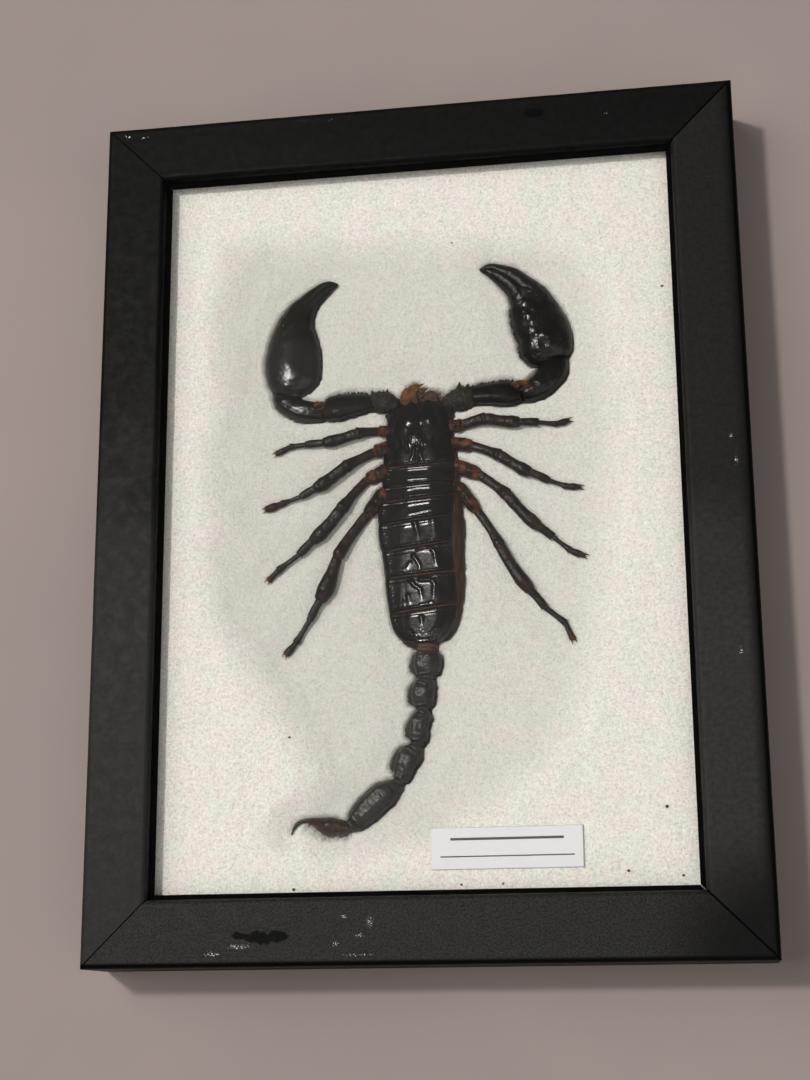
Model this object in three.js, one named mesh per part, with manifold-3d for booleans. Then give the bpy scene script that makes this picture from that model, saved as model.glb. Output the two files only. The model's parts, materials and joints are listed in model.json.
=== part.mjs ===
// Framed dry scorpion specimen: a mitred picture frame lying on its back, with a
// glass pane, a bed of white batting, a blank caption card, a backing board and
// the dried animal in its separate sclerites.
// Millimetres. Origin: centre of the frame's back plane. +X right, +Y to the top
// of the picture, +Z out through the glass.
import * as THREE from 'three';
import { mergeVertices } from 'three/addons/utils/BufferGeometryUtils.js';
import Module from 'manifold-3d';

// ---- driving dimensions ----------------------------------------------------
const FRAME_W = 152.4;        // outer width  (6 in)
const FRAME_H = 203.2;        // outer height (8 in)
const FRAME_D = 20.0;         // depth, back plane to face
const REBATE_U = 11.9;        // rebate wall, measured in from the outer edge
const LIP_U = 16.0;           // inner edge of the lip that holds the glass
const LIP_Z = 16.7;           // underside of the lip
const LEDGE_Z = 17.3;         // top of the small inner ledge
const STEP_U = 14.75;         // foot of the rounded inner edge
const EDGE_R = 1.8;           // rounding of the outer edge
const INNER_R = 1.25;         // rounding of the inner edge
const MITRE_GAP = 0.15;       // each rail's set-back from the mitre plane
const GLASS = { w: 127.0, h: 177.8, z0: 14.4, z1: 16.4 };
const BOARD = { w: 127.0, h: 177.8, z0: 2.4, z1: 4.4 };
const BATTING = { w: 126.4, h: 177.2, z0: 4.7, top: 14.05, cell: 5.0, clear: 0.4 };
const LABEL = { x0: 1.92, x1: 35.52, y0: -81.15, y1: -72.0, z0: 13.8, z1: 14.05 };
const HANGER = { y: 76.0, w: 7.0, half: 22.0, t: 0.5 };
const GAP = 0.3;

// dried animal: widest level of the trunk and the tops of its plates
const TRUNK_ZC = 10.0, TRUNK_UP = 2.0, TRUNK_DOWN = 3.5, PLATE_UP = 3.85, PLATE_LOW = 2.8, SECTION_N = 2.3;
// trunk stations: y, centre x, half width
const TRUNK = [[28.3, -0.2, 5.4], [26.68, -0.14, 7.2], [23.67, -0.14, 7.75], [18.65, -0.14, 8.1], [13.92, -0.04, 8.8], [9.6, 0.01, 9.1], [5.58, -0.04, 9.5], [0.56, -0.14, 10.05], [-4.47, 0.16, 10.15], [-9.49, 0.51, 9.5], [-14.52, 0.76, 9.35], [-19.54, 0.81, 8.9], [-23.56, 0.66, 8.2], [-26.17, 0.51, 7.35], [-27.98, 0.36, 6.2], [-29.39, 0.31, 4.6], [-30.19, 0.41, 2.9]];
const CARAPACE_FRONT = 28.75;
// front edges of the seven dorsal plates and the end of the last one
const TERGITE_Y = [12.5, 7.82, 4.04, -0.65, -7.32, -14.09, -22.06, -30.1];

// walking legs: joint centres from the trunk outwards, and widths of each
// podomere at its start, middle and end
const LEGS = {
  left_1: { joints: [[-7.23, 21.76, 10.6], [-9.69, 21.52, 11.5], [-15.14, 21.05, 12.3], [-22.96, 19.28, 12.2], [-27.32, 19.13, 11.9], [-31.19, 18.88, 11.6], [-34.42, 17.46, 11.5]], widths: [[2.4, 2.6, 2.2], [2.0, 2.3, 2.7], [2.5, 2.7, 2.2], [1.6, 1.9, 1.5], [1.1, 1.15, 1.5], [1.1, 1.4, 1.2]] },
  left_2: { joints: [[-7.63, 17.65, 10.6], [-10.59, 16.46, 11.5], [-17.84, 12.91, 12.3], [-24.86, 8.14, 12.2], [-28.32, 6.38, 11.9], [-33.09, 4.97, 11.6], [-36.82, 3.84, 11.5]], widths: [[3.0, 3.2, 2.6], [2.2, 2.3, 2.9], [2.8, 3.0, 2.5], [1.8, 1.9, 1.6], [1.0, 1.0, 1.5], [1.3, 1.9, 1.4]] },
  left_3: { joints: [[-8.03, 12.03, 10.6], [-12.49, 9.85, 11.5], [-18.74, 2.61, 12.3], [-25.56, -4.65, 12.2], [-28.72, -7.67, 11.9], [-33.69, -11.1, 11.6], [-36.02, -13.38, 11.5]], widths: [[3.4, 3.2, 2.5], [2.0, 2.2, 2.9], [2.8, 3.1, 2.4], [1.9, 2.1, 1.7], [1.1, 1.15, 1.6], [1.2, 1.3, 1.4]] },
  left_4: { joints: [[-8.64, 6.61, 10.6], [-12.49, 1.44, 11.5], [-19.54, -8.68, 12.3], [-23.66, -18.85, 12.2], [-26.12, -23.48, 11.9], [-29.39, -28.52, 11.6], [-31.71, -31.1, 11.5]], widths: [[3.4, 3.2, 2.6], [2.3, 2.5, 2.7], [2.4, 3.7, 2.9], [1.8, 2.0, 1.6], [1.2, 1.2, 1.6], [1.2, 1.6, 1.5]] },
  right_1: { joints: [[6.82, 22.06, 10.6], [10.14, 21.87, 11.5], [15.83, 23.0, 12.3], [23.62, 21.68, 12.2], [27.99, 21.43, 11.9], [32.17, 20.88, 11.6], [34.97, 21.67, 11.5]], widths: [[2.6, 3.0, 2.6], [2.4, 2.6, 2.8], [2.7, 2.8, 2.4], [1.7, 1.9, 1.7], [1.0, 1.05, 1.3], [1.2, 1.6, 1.0]] },
  right_2: { joints: [[7.22, 17.85, 10.6], [12.14, 16.76, 11.5], [18.93, 13.71, 12.3], [25.72, 9.34, 12.2], [29.99, 7.23, 11.9], [33.97, 5.72, 11.6], [37.07, 5.45, 11.5]], widths: [[2.8, 3.1, 2.6], [2.2, 2.2, 2.8], [2.7, 2.7, 2.5], [1.8, 1.9, 1.6], [1.0, 1.0, 1.4], [1.3, 1.6, 1.0]] },
  right_3: { joints: [[7.62, 12.63, 10.6], [13.74, 9.65, 11.5], [20.43, 4.01, 12.3], [27.42, -3.75, 12.2], [30.59, -6.27, 11.9], [34.37, -9.5, 11.6], [37.57, -10.87, 11.5]], widths: [[3.3, 3.3, 2.6], [2.2, 2.3, 2.9], [2.8, 2.8, 2.5], [2.0, 2.0, 1.7], [1.0, 1.05, 1.4], [1.3, 1.7, 1.0]] },
  right_4: { joints: [[8.82, 7.01, 10.6], [13.04, 1.14, 11.5], [18.53, -8.08, 12.3], [25.12, -18.65, 12.2], [28.19, -22.58, 11.9], [32.87, -26.41, 11.6], [34.37, -30.1, 11.5]], widths: [[3.2, 3.2, 2.4], [2.0, 2.0, 2.6], [2.6, 3.0, 2.5], [1.9, 1.9, 1.7], [1.3, 1.3, 1.5], [1.1, 1.3, 1.4]] },
};
// lofted podomeres: x, y, z, half width, half height
const HAND = {
  left: [[-30.71, 31.7, 10.6, 2.0, 1.6], [-30.73, 32.84, 10.5, 4.3, 2.6], [-30.76, 34.58, 10.4, 5.85, 3.1], [-30.68, 37.13, 10.3, 6.6, 3.4], [-30.73, 39.64, 10.3, 6.85, 3.5], [-30.73, 42.05, 10.3, 6.65, 3.45], [-30.65, 44.72, 10.4, 6.2, 3.3], [-30.48, 47.34, 10.5, 5.45, 3.0], [-30.16, 49.56, 10.6, 4.65, 2.7], [-29.48, 51.42, 10.7, 4.0, 2.45], [-28.51, 53.29, 10.8, 3.25, 2.2]],
  right: [[30.48, 36.19, 10.4, 2.0, 1.6], [30.28, 36.89, 10.4, 4.2, 2.5], [30.18, 38.29, 10.4, 5.7, 3.0], [30.07, 40.84, 10.3, 6.4, 3.4], [29.97, 43.05, 10.3, 6.3, 3.5], [29.27, 45.06, 10.3, 6.4, 3.5], [28.47, 46.77, 10.3, 6.3, 3.4], [27.87, 48.53, 10.4, 6.05, 3.2], [27.18, 50.5, 10.5, 5.6, 3.0], [26.43, 52.62, 10.6, 4.92, 2.75], [25.54, 54.08, 10.7, 4.2, 2.5]],
};
const FINGERS = {
  left: [[-28.51, 53.29, 10.8, 3.25, 2.2], [-27.24, 54.9, 10.9, 2.6, 2.0], [-25.66, 56.52, 11.0, 2.2, 1.8], [-24.29, 57.68, 11.1, 1.93, 1.6], [-23.01, 58.54, 11.2, 1.7, 1.4], [-21.59, 59.2, 11.3, 1.27, 1.1], [-20.12, 59.25, 11.4, 0.5, 0.5]],
  right: [[25.54, 54.08, 10.7, 4.2, 2.5], [24.04, 56.0, 10.8, 3.5, 2.2], [22.2, 57.86, 10.9, 3.1, 1.95], [20.5, 58.97, 11.0, 2.65, 1.7], [18.76, 59.98, 11.1, 2.1, 1.45], [16.91, 60.69, 11.2, 1.45, 1.1], [15.32, 60.6, 11.3, 0.5, 0.5]],
};
const PATELLA = {
  left: [[-34.71, 33.19, 9.8, 1.1, 1.2], [-33.48, 31.44, 9.9, 2.2, 2.2], [-31.45, 29.6, 10.0, 2.5, 2.6], [-28.69, 28.22, 10.2, 2.7, 2.7], [-25.94, 27.65, 10.4, 2.5, 2.5], [-23.71, 27.42, 10.5, 2.3, 2.2]],
  right: [[33.86, 37.71, 9.8, 1.5, 1.3], [32.86, 35.97, 9.9, 2.7, 2.3], [31.56, 33.92, 10.0, 3.3, 2.7], [29.96, 32.08, 10.1, 3.3, 2.8], [28.07, 30.6, 10.3, 3.0, 2.6], [26.07, 29.76, 10.4, 2.6, 2.4], [24.77, 29.52, 10.5, 2.35, 2.2]],
};
const FEMUR = {
  left: [[-22.68, 27.38, 10.6, 2.3, 2.2], [-20.86, 27.75, 10.7, 3.1, 2.6], [-17.73, 28.42, 10.8, 2.95, 2.6], [-14.22, 28.82, 10.8, 2.5, 2.4], [-11.81, 29.02, 10.8, 1.95, 2.1]],
  right: [[23.67, 29.39, 10.6, 2.5, 2.2], [21.48, 29.35, 10.7, 3.0, 2.6], [18.68, 29.42, 10.8, 2.85, 2.6], [15.47, 29.42, 10.8, 2.3, 2.4], [13.06, 29.37, 10.8, 1.95, 2.1]],
};
const TROCHANTER = {
  left: [[-11.33, 29.4, 10.7, 2.2, 2.0], [-9.42, 29.05, 10.7, 2.7, 2.4], [-7.63, 28.69, 10.6, 2.5, 2.3], [-5.86, 28.15, 10.4, 1.8, 1.9]],
  right: [[12.55, 29.15, 10.7, 2.5, 2.1], [10.44, 28.75, 10.7, 3.0, 2.4], [8.62, 28.39, 10.6, 2.7, 2.3], [6.39, 27.75, 10.4, 1.9, 1.9]],
};
const CHELICERA = {
  left: [[-2.6, 28.0, 11.2, 1.3, 1.2], [-2.5, 29.4, 11.4, 1.9, 1.4], [-1.6, 30.7, 11.5, 1.7, 1.3], [-0.2, 31.9, 11.5, 1.1, 0.9], [1.6, 32.3, 11.4, 0.45, 0.4]],
  right: [[2.6, 28.0, 11.0, 1.3, 1.1], [2.7, 29.2, 11.1, 1.7, 1.2], [2.7, 30.2, 11.1, 1.2, 0.9]],
};
const TAIL = [
  [[1.08, -31.06, 10.8, 2.1, 2.2], [1.03, -32.56, 10.8, 3.4, 3.0], [0.98, -34.37, 10.8, 3.5, 3.1], [0.93, -36.17, 10.8, 3.3, 3.0], [1.03, -37.78, 10.8, 2.2, 2.3]],
  [[0.93, -38.28, 10.8, 2.15, 2.2], [0.32, -40.08, 10.8, 3.05, 2.9], [0.02, -41.79, 10.8, 3.25, 3.0], [0.12, -43.59, 10.8, 2.7, 2.7], [0.22, -44.9, 10.8, 1.9, 2.1]],
  [[0.17, -45.4, 10.8, 1.8, 2.0], [-0.38, -47.2, 10.8, 2.45, 2.7], [-0.88, -49.21, 10.8, 2.7, 2.9], [-1.08, -51.22, 10.8, 2.6, 2.7], [-1.08, -52.82, 10.8, 1.95, 2.1]],
  [[-1.48, -53.42, 10.8, 1.8, 2.0], [-2.79, -55.03, 10.8, 2.9, 2.7], [-4.09, -57.23, 10.8, 3.0, 2.9], [-4.79, -59.24, 10.8, 2.6, 2.6], [-5.69, -61.35, 10.8, 1.6, 2.0]],
  [[-6.08, -61.86, 10.9, 1.7, 1.9], [-8.08, -63.36, 10.9, 2.8, 2.6], [-10.49, -65.17, 10.9, 3.1, 2.8], [-13.08, -67.49, 11.0, 3.0, 2.6], [-15.18, -69.49, 11.0, 2.45, 2.2], [-16.59, -70.79, 11.0, 1.6, 1.7]],
];
const TELSON = [[-17.09, -71.19, 11.0, 1.1, 1.3], [-18.39, -70.99, 11.0, 1.6, 1.8], [-20.2, -70.79, 11.0, 1.95, 2.1], [-22.0, -70.69, 11.0, 2.1, 2.2], [-23.2, -70.34, 11.0, 1.7, 1.8], [-24.41, -69.89, 11.0, 1.2, 1.3], [-25.61, -69.49, 11.0, 0.75, 0.9], [-27.41, -69.44, 11.0, 0.47, 0.6], [-28.82, -69.99, 11.0, 0.42, 0.45], [-29.67, -71.09, 11.0, 0.3, 0.35], [-30.17, -72.4, 11.0, 0.15, 0.2]];

// ---- solids ----------------------------------------------------------------
const wasm = await Module();
wasm.setup();

function bare(geometry) {
  const g = geometry.clone();
  for (const name of Object.keys(g.attributes)) if (name !== 'position') g.deleteAttribute(name);
  return mergeVertices(g, 1e-4);
}
function solid(geometry) {
  const g = bare(geometry);
  return new wasm.Manifold(new wasm.Mesh({
    numProp: 3,
    vertProperties: new Float32Array(g.attributes.position.array),
    triVerts: new Uint32Array(g.index.array),
  }));
}
function geometryOf(manifold) {
  const m = manifold.getMesh();
  const g = new THREE.BufferGeometry();
  g.setAttribute('position', new THREE.BufferAttribute(new Float32Array(m.vertProperties), 3));
  g.setIndex(new THREE.BufferAttribute(new Uint32Array(m.triVerts), 1));
  return g;
}
function closed(points, faces) {
  // points: [x, y, z] rows; faces: index triples, turned so that they face out
  let volume = 0;
  for (const [a, b, c] of faces) {
    const [p, q, r] = [points[a], points[b], points[c]];
    volume += p[0] * (q[1] * r[2] - q[2] * r[1]) - p[1] * (q[0] * r[2] - q[2] * r[0]) + p[2] * (q[0] * r[1] - q[1] * r[0]);
  }
  const g = new THREE.BufferGeometry();
  g.setAttribute('position', new THREE.Float32BufferAttribute(points.flat(), 3));
  g.setIndex((volume < 0 ? faces.map(([a, b, c]) => [a, c, b]) : faces).flat());
  return g;
}
function rings(rows) {
  // closed skin over rings of equal length, with a fan on each end
  const n = rows[0].length, points = rows.flat(), faces = [];
  for (let i = 0; i + 1 < rows.length; i++) for (let k = 0; k < n; k++) {
    const a = i * n + k, b = i * n + (k + 1) % n, c = a + n, d = b + n;
    faces.push([a, b, d], [a, d, c]);
  }
  for (const [row, turn] of [[0, 1], [rows.length - 1, -1]]) {
    const mid = [0, 1, 2].map(i => rows[row].reduce((s, p) => s + p[i], 0) / n);
    const centre = points.push(mid) - 1;
    for (let k = 0; k < n; k++) {
      const a = row * n + k, b = row * n + (k + 1) % n;
      faces.push(turn > 0 ? [centre, b, a] : [centre, a, b]);
    }
  }
  return closed(points, faces);
}
const pow = (v, p) => Math.sign(v) * Math.abs(v) ** p;
function loft(stations, { sides = 10, n = 2.2, grow = 0 } = {}) {
  // tapered limb through stations [x, y, z, half width, half height]
  const P = stations.map(s => new THREE.Vector3(s[0], s[1], s[2]));
  const up = new THREE.Vector3(0, 0, 1);
  const rows = stations.map((s, i) => {
    const a = P[Math.max(0, i - 1)], b = P[Math.min(P.length - 1, i + 1)];
    const t = b.clone().sub(a).normalize();
    const side = new THREE.Vector3().crossVectors(t, up).normalize();
    const lift = new THREE.Vector3().crossVectors(side, t).normalize();
    const c = P[i].clone();
    if (grow && i === 0) c.addScaledVector(t, -grow);
    if (grow && i === P.length - 1) c.addScaledVector(t, grow);
    return Array.from({ length: sides }, (_, k) => {
      const q = 2 * Math.PI * (k + 0.5) / sides;
      return c.clone()
        .addScaledVector(side, (s[3] + grow) * pow(Math.cos(q), 2 / n))
        .addScaledVector(lift, (s[4] + grow) * pow(Math.sin(q), 2 / n)).toArray();
    });
  });
  return rings(rows);
}
function trunkAt(y) {
  let i = 0;
  while (i + 2 < TRUNK.length && TRUNK[i + 1][0] > y) i++;
  const [a, b] = [TRUNK[i], TRUNK[i + 1]];
  const k = Math.min(1, Math.max(0, (a[0] - y) / (a[0] - b[0])));
  return [a[1] + (b[1] - a[1]) * k, a[2] + (b[2] - a[2]) * k];
}
function trunkEnd(y) {
  // the trunk's height tapers towards both of its ends
  const front = Math.min(1, 0.6 + (28.75 - y) * 0.16), back = Math.min(1, 0.55 + (y + 30.2) * 0.13);
  return Math.min(front, back);
}
function trunkSkin(up, down, grow, ys) {
  const sides = 14;
  return rings(ys.map((y, j) => {
    const [cx, hw] = trunkAt(y), e = trunkEnd(y);
    const yy = j === 0 ? y + grow : j === ys.length - 1 ? y - grow : y;
    return Array.from({ length: sides }, (_, k) => {
      const q = 2 * Math.PI * (k + 0.5) / sides, s = Math.sin(q);
      return [cx + (hw + grow) * pow(Math.cos(q), 2 / SECTION_N), yy,
        TRUNK_ZC + ((s > 0 ? up : down) * e + grow) * pow(s, 2 / SECTION_N)];
    });
  }));
}
function plate(y0, y1, left, right, steps, front = () => 0) {
  // curved dorsal plate over the trunk from y0 back to y1; left and right are
  // fractions of the trunk's half width
  const across = 10, top = [], low = [];
  for (let j = 0; j <= steps; j++) {
    const y = y0 + (y1 - y0) * j / steps, [cx, hw] = trunkAt(y), e = trunkEnd(y);
    const rowT = [], rowL = [];
    for (let k = 0; k <= across; k++) {
      const f = left + (right - left) * k / across;
      const arch = (1 - Math.abs(f) ** SECTION_N) ** (1 / SECTION_N);
      const yy = y + (j === 0 ? front(f) : 0);
      rowT.push([cx + hw * f, yy, TRUNK_ZC + PLATE_UP * e * arch]);
      rowL.push([cx + hw * f, yy, TRUNK_ZC + PLATE_LOW * e * arch]);
    }
    top.push(rowT); low.push(rowL);
  }
  return rings(top.map((row, j) => [...row, ...low[j].slice().reverse()]));
}
function cut(geometry, ...others) {
  let m = solid(geometry);
  for (const o of others) m = m.subtract(o);
  return geometryOf(m);
}
function boxAt(x0, x1, y0, y1, z0, z1) {
  return new THREE.BoxGeometry(x1 - x0, y1 - y0, z1 - z0).translate((x0 + x1) / 2, (y0 + y1) / 2, (z0 + z1) / 2);
}

// ---- materials -------------------------------------------------------------
const paint = (color, roughness, metalness = 0, extra = {}) => () => new THREE.MeshStandardMaterial({ color, roughness, metalness, ...extra });
const MAT = {
  frame: paint(0x2b2b2a, 0.42),
  glass: paint(0xf4f8f6, 0.04, 0, { transparent: true, opacity: 0.2 }),
  batting: paint(0xdcdad0, 0.95),
  board: paint(0x7a5a3c, 0.8),
  card: paint(0xe2e4ea, 0.55),
  steel: paint(0xb9b6ac, 0.4, 0.8),
  cuticle: paint(0x23211f, 0.25),
  limb: paint(0x33261f, 0.3),
  brown: paint(0x8a5a3a, 0.5),
  membrane: paint(0x5e3626, 0.5),
};
const model = new THREE.Group();
model.name = 'framed_scorpion_specimen';
function add(name, geometry, material) {
  const mesh = new THREE.Mesh(geometry, MAT[material]());
  mesh.name = name;
  model.add(mesh);
  return mesh;
}

// ---- frame -----------------------------------------------------------------
function railProfile() {
  // (u, z): u runs from the outer edge inwards
  const p = [[0, 0], [REBATE_U, 0], [REBATE_U, LIP_Z], [LIP_U, LIP_Z], [LIP_U, LEDGE_Z], [STEP_U + 0.05, LEDGE_Z + 0.1]];
  for (let i = 0; i <= 4; i++) {
    const q = Math.PI / 2 * i / 4;
    p.push([STEP_U - INNER_R + INNER_R * Math.cos(q), FRAME_D - INNER_R + INNER_R * Math.sin(q)]);
  }
  for (let i = 0; i <= 4; i++) {
    const q = Math.PI / 2 * i / 4;
    p.push([EDGE_R - EDGE_R * Math.sin(q), FRAME_D - EDGE_R + EDGE_R * Math.cos(q)]);
  }
  return p;
}
function rail(length) {
  // mitred rail along X with its outer edge at y = 0 and its inner side at -Y
  const profile = railProfile(), n = profile.length;
  const half = u => length / 2 - u - MITRE_GAP * Math.SQRT2;
  const points = [...profile.map(([u, z]) => [-half(u), -u, z]), ...profile.map(([u, z]) => [half(u), -u, z])];
  const faces = [];
  for (let k = 0; k < n; k++) {
    const a = k, b = (k + 1) % n;
    faces.push([a, b, b + n], [a, b + n, a + n]);
  }
  const flat = THREE.ShapeUtils.triangulateShape(profile.map(([u, z]) => new THREE.Vector2(u, z)), []);
  const ccw = THREE.ShapeUtils.area(profile.map(([u, z]) => new THREE.Vector2(u, z))) > 0;
  for (const [a, b, c] of flat) {
    faces.push(ccw ? [a, c, b] : [a, b, c]);
    faces.push(ccw ? [a + n, b + n, c + n] : [a + n, c + n, b + n]);
  }
  return closed(points, faces);
}
const railTop = add('frame_rail_top', rail(FRAME_W), 'frame');
railTop.position.set(0, FRAME_H / 2, 0);
const railBottom = add('frame_rail_bottom', rail(FRAME_W), 'frame');
railBottom.position.set(0, -FRAME_H / 2, 0);
railBottom.rotation.z = Math.PI;
const railLeft = add('frame_rail_left', rail(FRAME_H), 'frame');
railLeft.position.set(-FRAME_W / 2, 0, 0);
railLeft.rotation.z = Math.PI / 2;
const railRight = add('frame_rail_right', rail(FRAME_H), 'frame');
railRight.position.set(FRAME_W / 2, 0, 0);
railRight.rotation.z = -Math.PI / 2;

add('glass_pane', boxAt(-GLASS.w / 2, GLASS.w / 2, -GLASS.h / 2, GLASS.h / 2, GLASS.z0, GLASS.z1), 'glass');
add('caption_card', boxAt(LABEL.x0, LABEL.x1, LABEL.y0, LABEL.y1, LABEL.z0, LABEL.z1), 'card');

// backing board, held by four flat points, with a saw-tooth hanger nailed on
const nailX = HANGER.half - 3;
const nailHole = x => solid(new THREE.CylinderGeometry(0.85, 0.85, 12, 8).rotateX(Math.PI / 2).translate(x, HANGER.y, 3));
add('backing_board', cut(boxAt(-BOARD.w / 2, BOARD.w / 2, -BOARD.h / 2, BOARD.h / 2, BOARD.z0, BOARD.z1), nailHole(-nailX), nailHole(nailX)), 'board');
{
  const z = BOARD.z0 - GAP, t = HANGER.t, h = HANGER.half;
  const side = new THREE.Shape([[-h, z], [-h, z - t], [-h + 6, z - t], [-h + 8.5, 0.35], [h - 8.5, 0.35], [h - 6, z - t], [h, z - t], [h, z], [h - 5.7, z], [h - 8.2, 0.35 + t], [-h + 8.2, 0.35 + t], [-h + 5.7, z]].map(([a, b]) => new THREE.Vector2(a, b)));
  let hanger = solid(new THREE.ExtrudeGeometry(side, { depth: HANGER.w, bevelEnabled: false }).rotateX(Math.PI / 2).translate(0, HANGER.y + HANGER.w / 2, 0))
    .subtract(nailHole(-nailX)).subtract(nailHole(nailX));
  for (let i = -3; i <= 3; i++) {
    const tooth = new THREE.Shape([[i * 3.2 - 1.3, -0.1], [i * 3.2 + 1.3, -0.1], [i * 3.2, 2.0]].map(([a, b]) => new THREE.Vector2(a, b)));
    hanger = hanger.subtract(solid(new THREE.ExtrudeGeometry(tooth, { depth: 4, bevelEnabled: false }).translate(0, HANGER.y - HANGER.w / 2, -1.5)));
  }
  add('sawtooth_hanger', geometryOf(hanger), 'steel');
  for (const [name, x] of [['hanger_nail_left', -nailX], ['hanger_nail_right', nailX]]) {
    const profile = [[0, 0.75], [1.25, 0.8], [1.5, 1.05], [1.4, 1.3], [0.55, 1.3], [0.55, 3.6], [0, 4.1]].map(([a, b]) => new THREE.Vector2(a, b));
    add(name, new THREE.LatheGeometry(profile, 8).rotateX(Math.PI / 2).translate(x, HANGER.y, 0), 'steel');
  }
}
{
  const tab = new THREE.Shape([[-2.5, 0], [2.5, 0], [2.5, 5], [0, 9], [-2.5, 5]].map(([a, b]) => new THREE.Vector2(a, b)));
  const point = () => new THREE.ExtrudeGeometry(tab, { depth: 0.5, bevelEnabled: false });
  const inX = FRAME_W / 2 - REBATE_U - GAP, inY = FRAME_H / 2 - REBATE_U - GAP;
  const z = BOARD.z0 - GAP - 0.5;
  for (const [name, x, y, turn] of [['framing_point_top', -38, inY, Math.PI], ['framing_point_bottom', 38, -inY, 0], ['framing_point_left', -inX, -40, -Math.PI / 2], ['framing_point_right', inX, 40, Math.PI / 2]]) {
    const mesh = add(name, point(), 'steel');
    mesh.position.set(x, y, z);
    mesh.rotation.z = turn;
  }
}

// ---- dried animal ----------------------------------------------------------
const trunkY = TRUNK.map(s => s[0]);
const envelope = solid(trunkSkin(PLATE_UP, TRUNK_DOWN, GAP, trunkY));
add('trunk_underside', trunkSkin(TRUNK_UP, TRUNK_DOWN, 0, trunkY), 'membrane');
const trunkGrown = solid(trunkSkin(TRUNK_UP, TRUNK_DOWN, 0.15, trunkY));
add('carapace', cut(plate(CARAPACE_FRONT - 0.5, TERGITE_Y[0] + 0.2, -0.97, 0.9, 5, f => 0.5 * Math.sin(Math.PI * Math.min(1, Math.abs(f + 0.05) / 0.9)) - 0.3), trunkGrown), 'cuticle');
for (let i = 0; i < 7; i++) {
  add(`tergite_${i + 1}`, cut(plate(TERGITE_Y[i] - 0.15, TERGITE_Y[i + 1] + 0.15, -0.95, 0.82, i === 6 ? 4 : 2), trunkGrown), 'cuticle');
}
for (const side of ['left', 'right']) {
  add(`chelicera_${side}`, cut(loft(CHELICERA[side], { sides: 8 }), envelope), 'brown');
  // pincer: hand and fixed finger are one piece, the movable finger is its own
  const inner = side === 'left' ? 1 : -1;
  const finger = (which, grow) => loft(FINGERS[side].map((s, i, all) => {
    const a = all[Math.max(0, i - 1)], b = all[Math.min(all.length - 1, i + 1)];
    const dx = b[0] - a[0], dy = b[1] - a[1], l = Math.hypot(dx, dy), off = inner * which * s[3] * 0.5;
    return [s[0] + dy / l * off, s[1] - dx / l * off, s[2], Math.max(0.12, s[3] * 0.5 - (which < 0 ? 0.1 : 0)), s[4]];
  }), { sides: 8, grow });
  const handLoft = solid(loft(HAND[side], { sides: 12 })).add(solid(finger(1, 0)).translate([0, 0, 0]));
  const root = HAND[side][HAND[side].length - 2], tip = FINGERS[side][1];
  const knuckle = solid(loft([[root[0], root[1], root[2], root[3] * 0.5, root[4] * 0.8], [(root[0] + tip[0]) / 2 + inner * 0.6, (root[1] + tip[1]) / 2 - 0.4, tip[2], tip[3] * 0.45, tip[4] * 0.8], [tip[0] + inner * tip[3] * 0.5, tip[1] - tip[3] * 0.3, tip[2], tip[3] * 0.3, tip[4] * 0.7]], { sides: 8 }));
  const hand = handLoft.add(knuckle);
  const handGrown = solid(loft(HAND[side], { sides: 12, grow: GAP })).add(solid(finger(1, GAP))).add(knuckle);
  add(`pincer_hand_${side}`, geometryOf(hand), 'cuticle');
  add(`pincer_finger_${side}`, cut(finger(-1, 0), handGrown), 'cuticle');
  add(`pedipalp_patella_${side}`, cut(loft(PATELLA[side]), handGrown), 'cuticle');
  add(`pedipalp_femur_${side}`, cut(loft(FEMUR[side]), solid(loft(PATELLA[side], { grow: GAP }))), 'cuticle');
  add(`pedipalp_trochanter_${side}`, cut(loft(TROCHANTER[side], { sides: 8 }), envelope, solid(loft(FEMUR[side], { grow: GAP })), solid(loft(CHELICERA[side], { sides: 8, grow: GAP }))), 'limb');
}
for (const [name, leg] of Object.entries(LEGS)) {
  const stations = [];
  for (let i = 0; i + 1 < leg.joints.length; i++) {
    const [a, b] = [leg.joints[i], leg.joints[i + 1]];
    leg.widths[i].forEach((w, k) => {
      const t = [0.06, 0.55, 0.94][k];
      stations.push([0, 1, 2].map(q => a[q] + (b[q] - a[q]) * t).concat([w / 2, w * 0.44]));
    });
  }
  add(`leg_${name}`, cut(loft(stations, { sides: 7 }), envelope), 'limb');
}
let before = envelope;
TAIL.forEach((stations, i) => {
  add(`tail_segment_${i + 1}`, cut(loft(stations), before), 'cuticle');
  before = solid(loft(stations, { grow: GAP }));
});
add('telson', cut(loft(TELSON, { sides: 8 }), before), 'limb');

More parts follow.
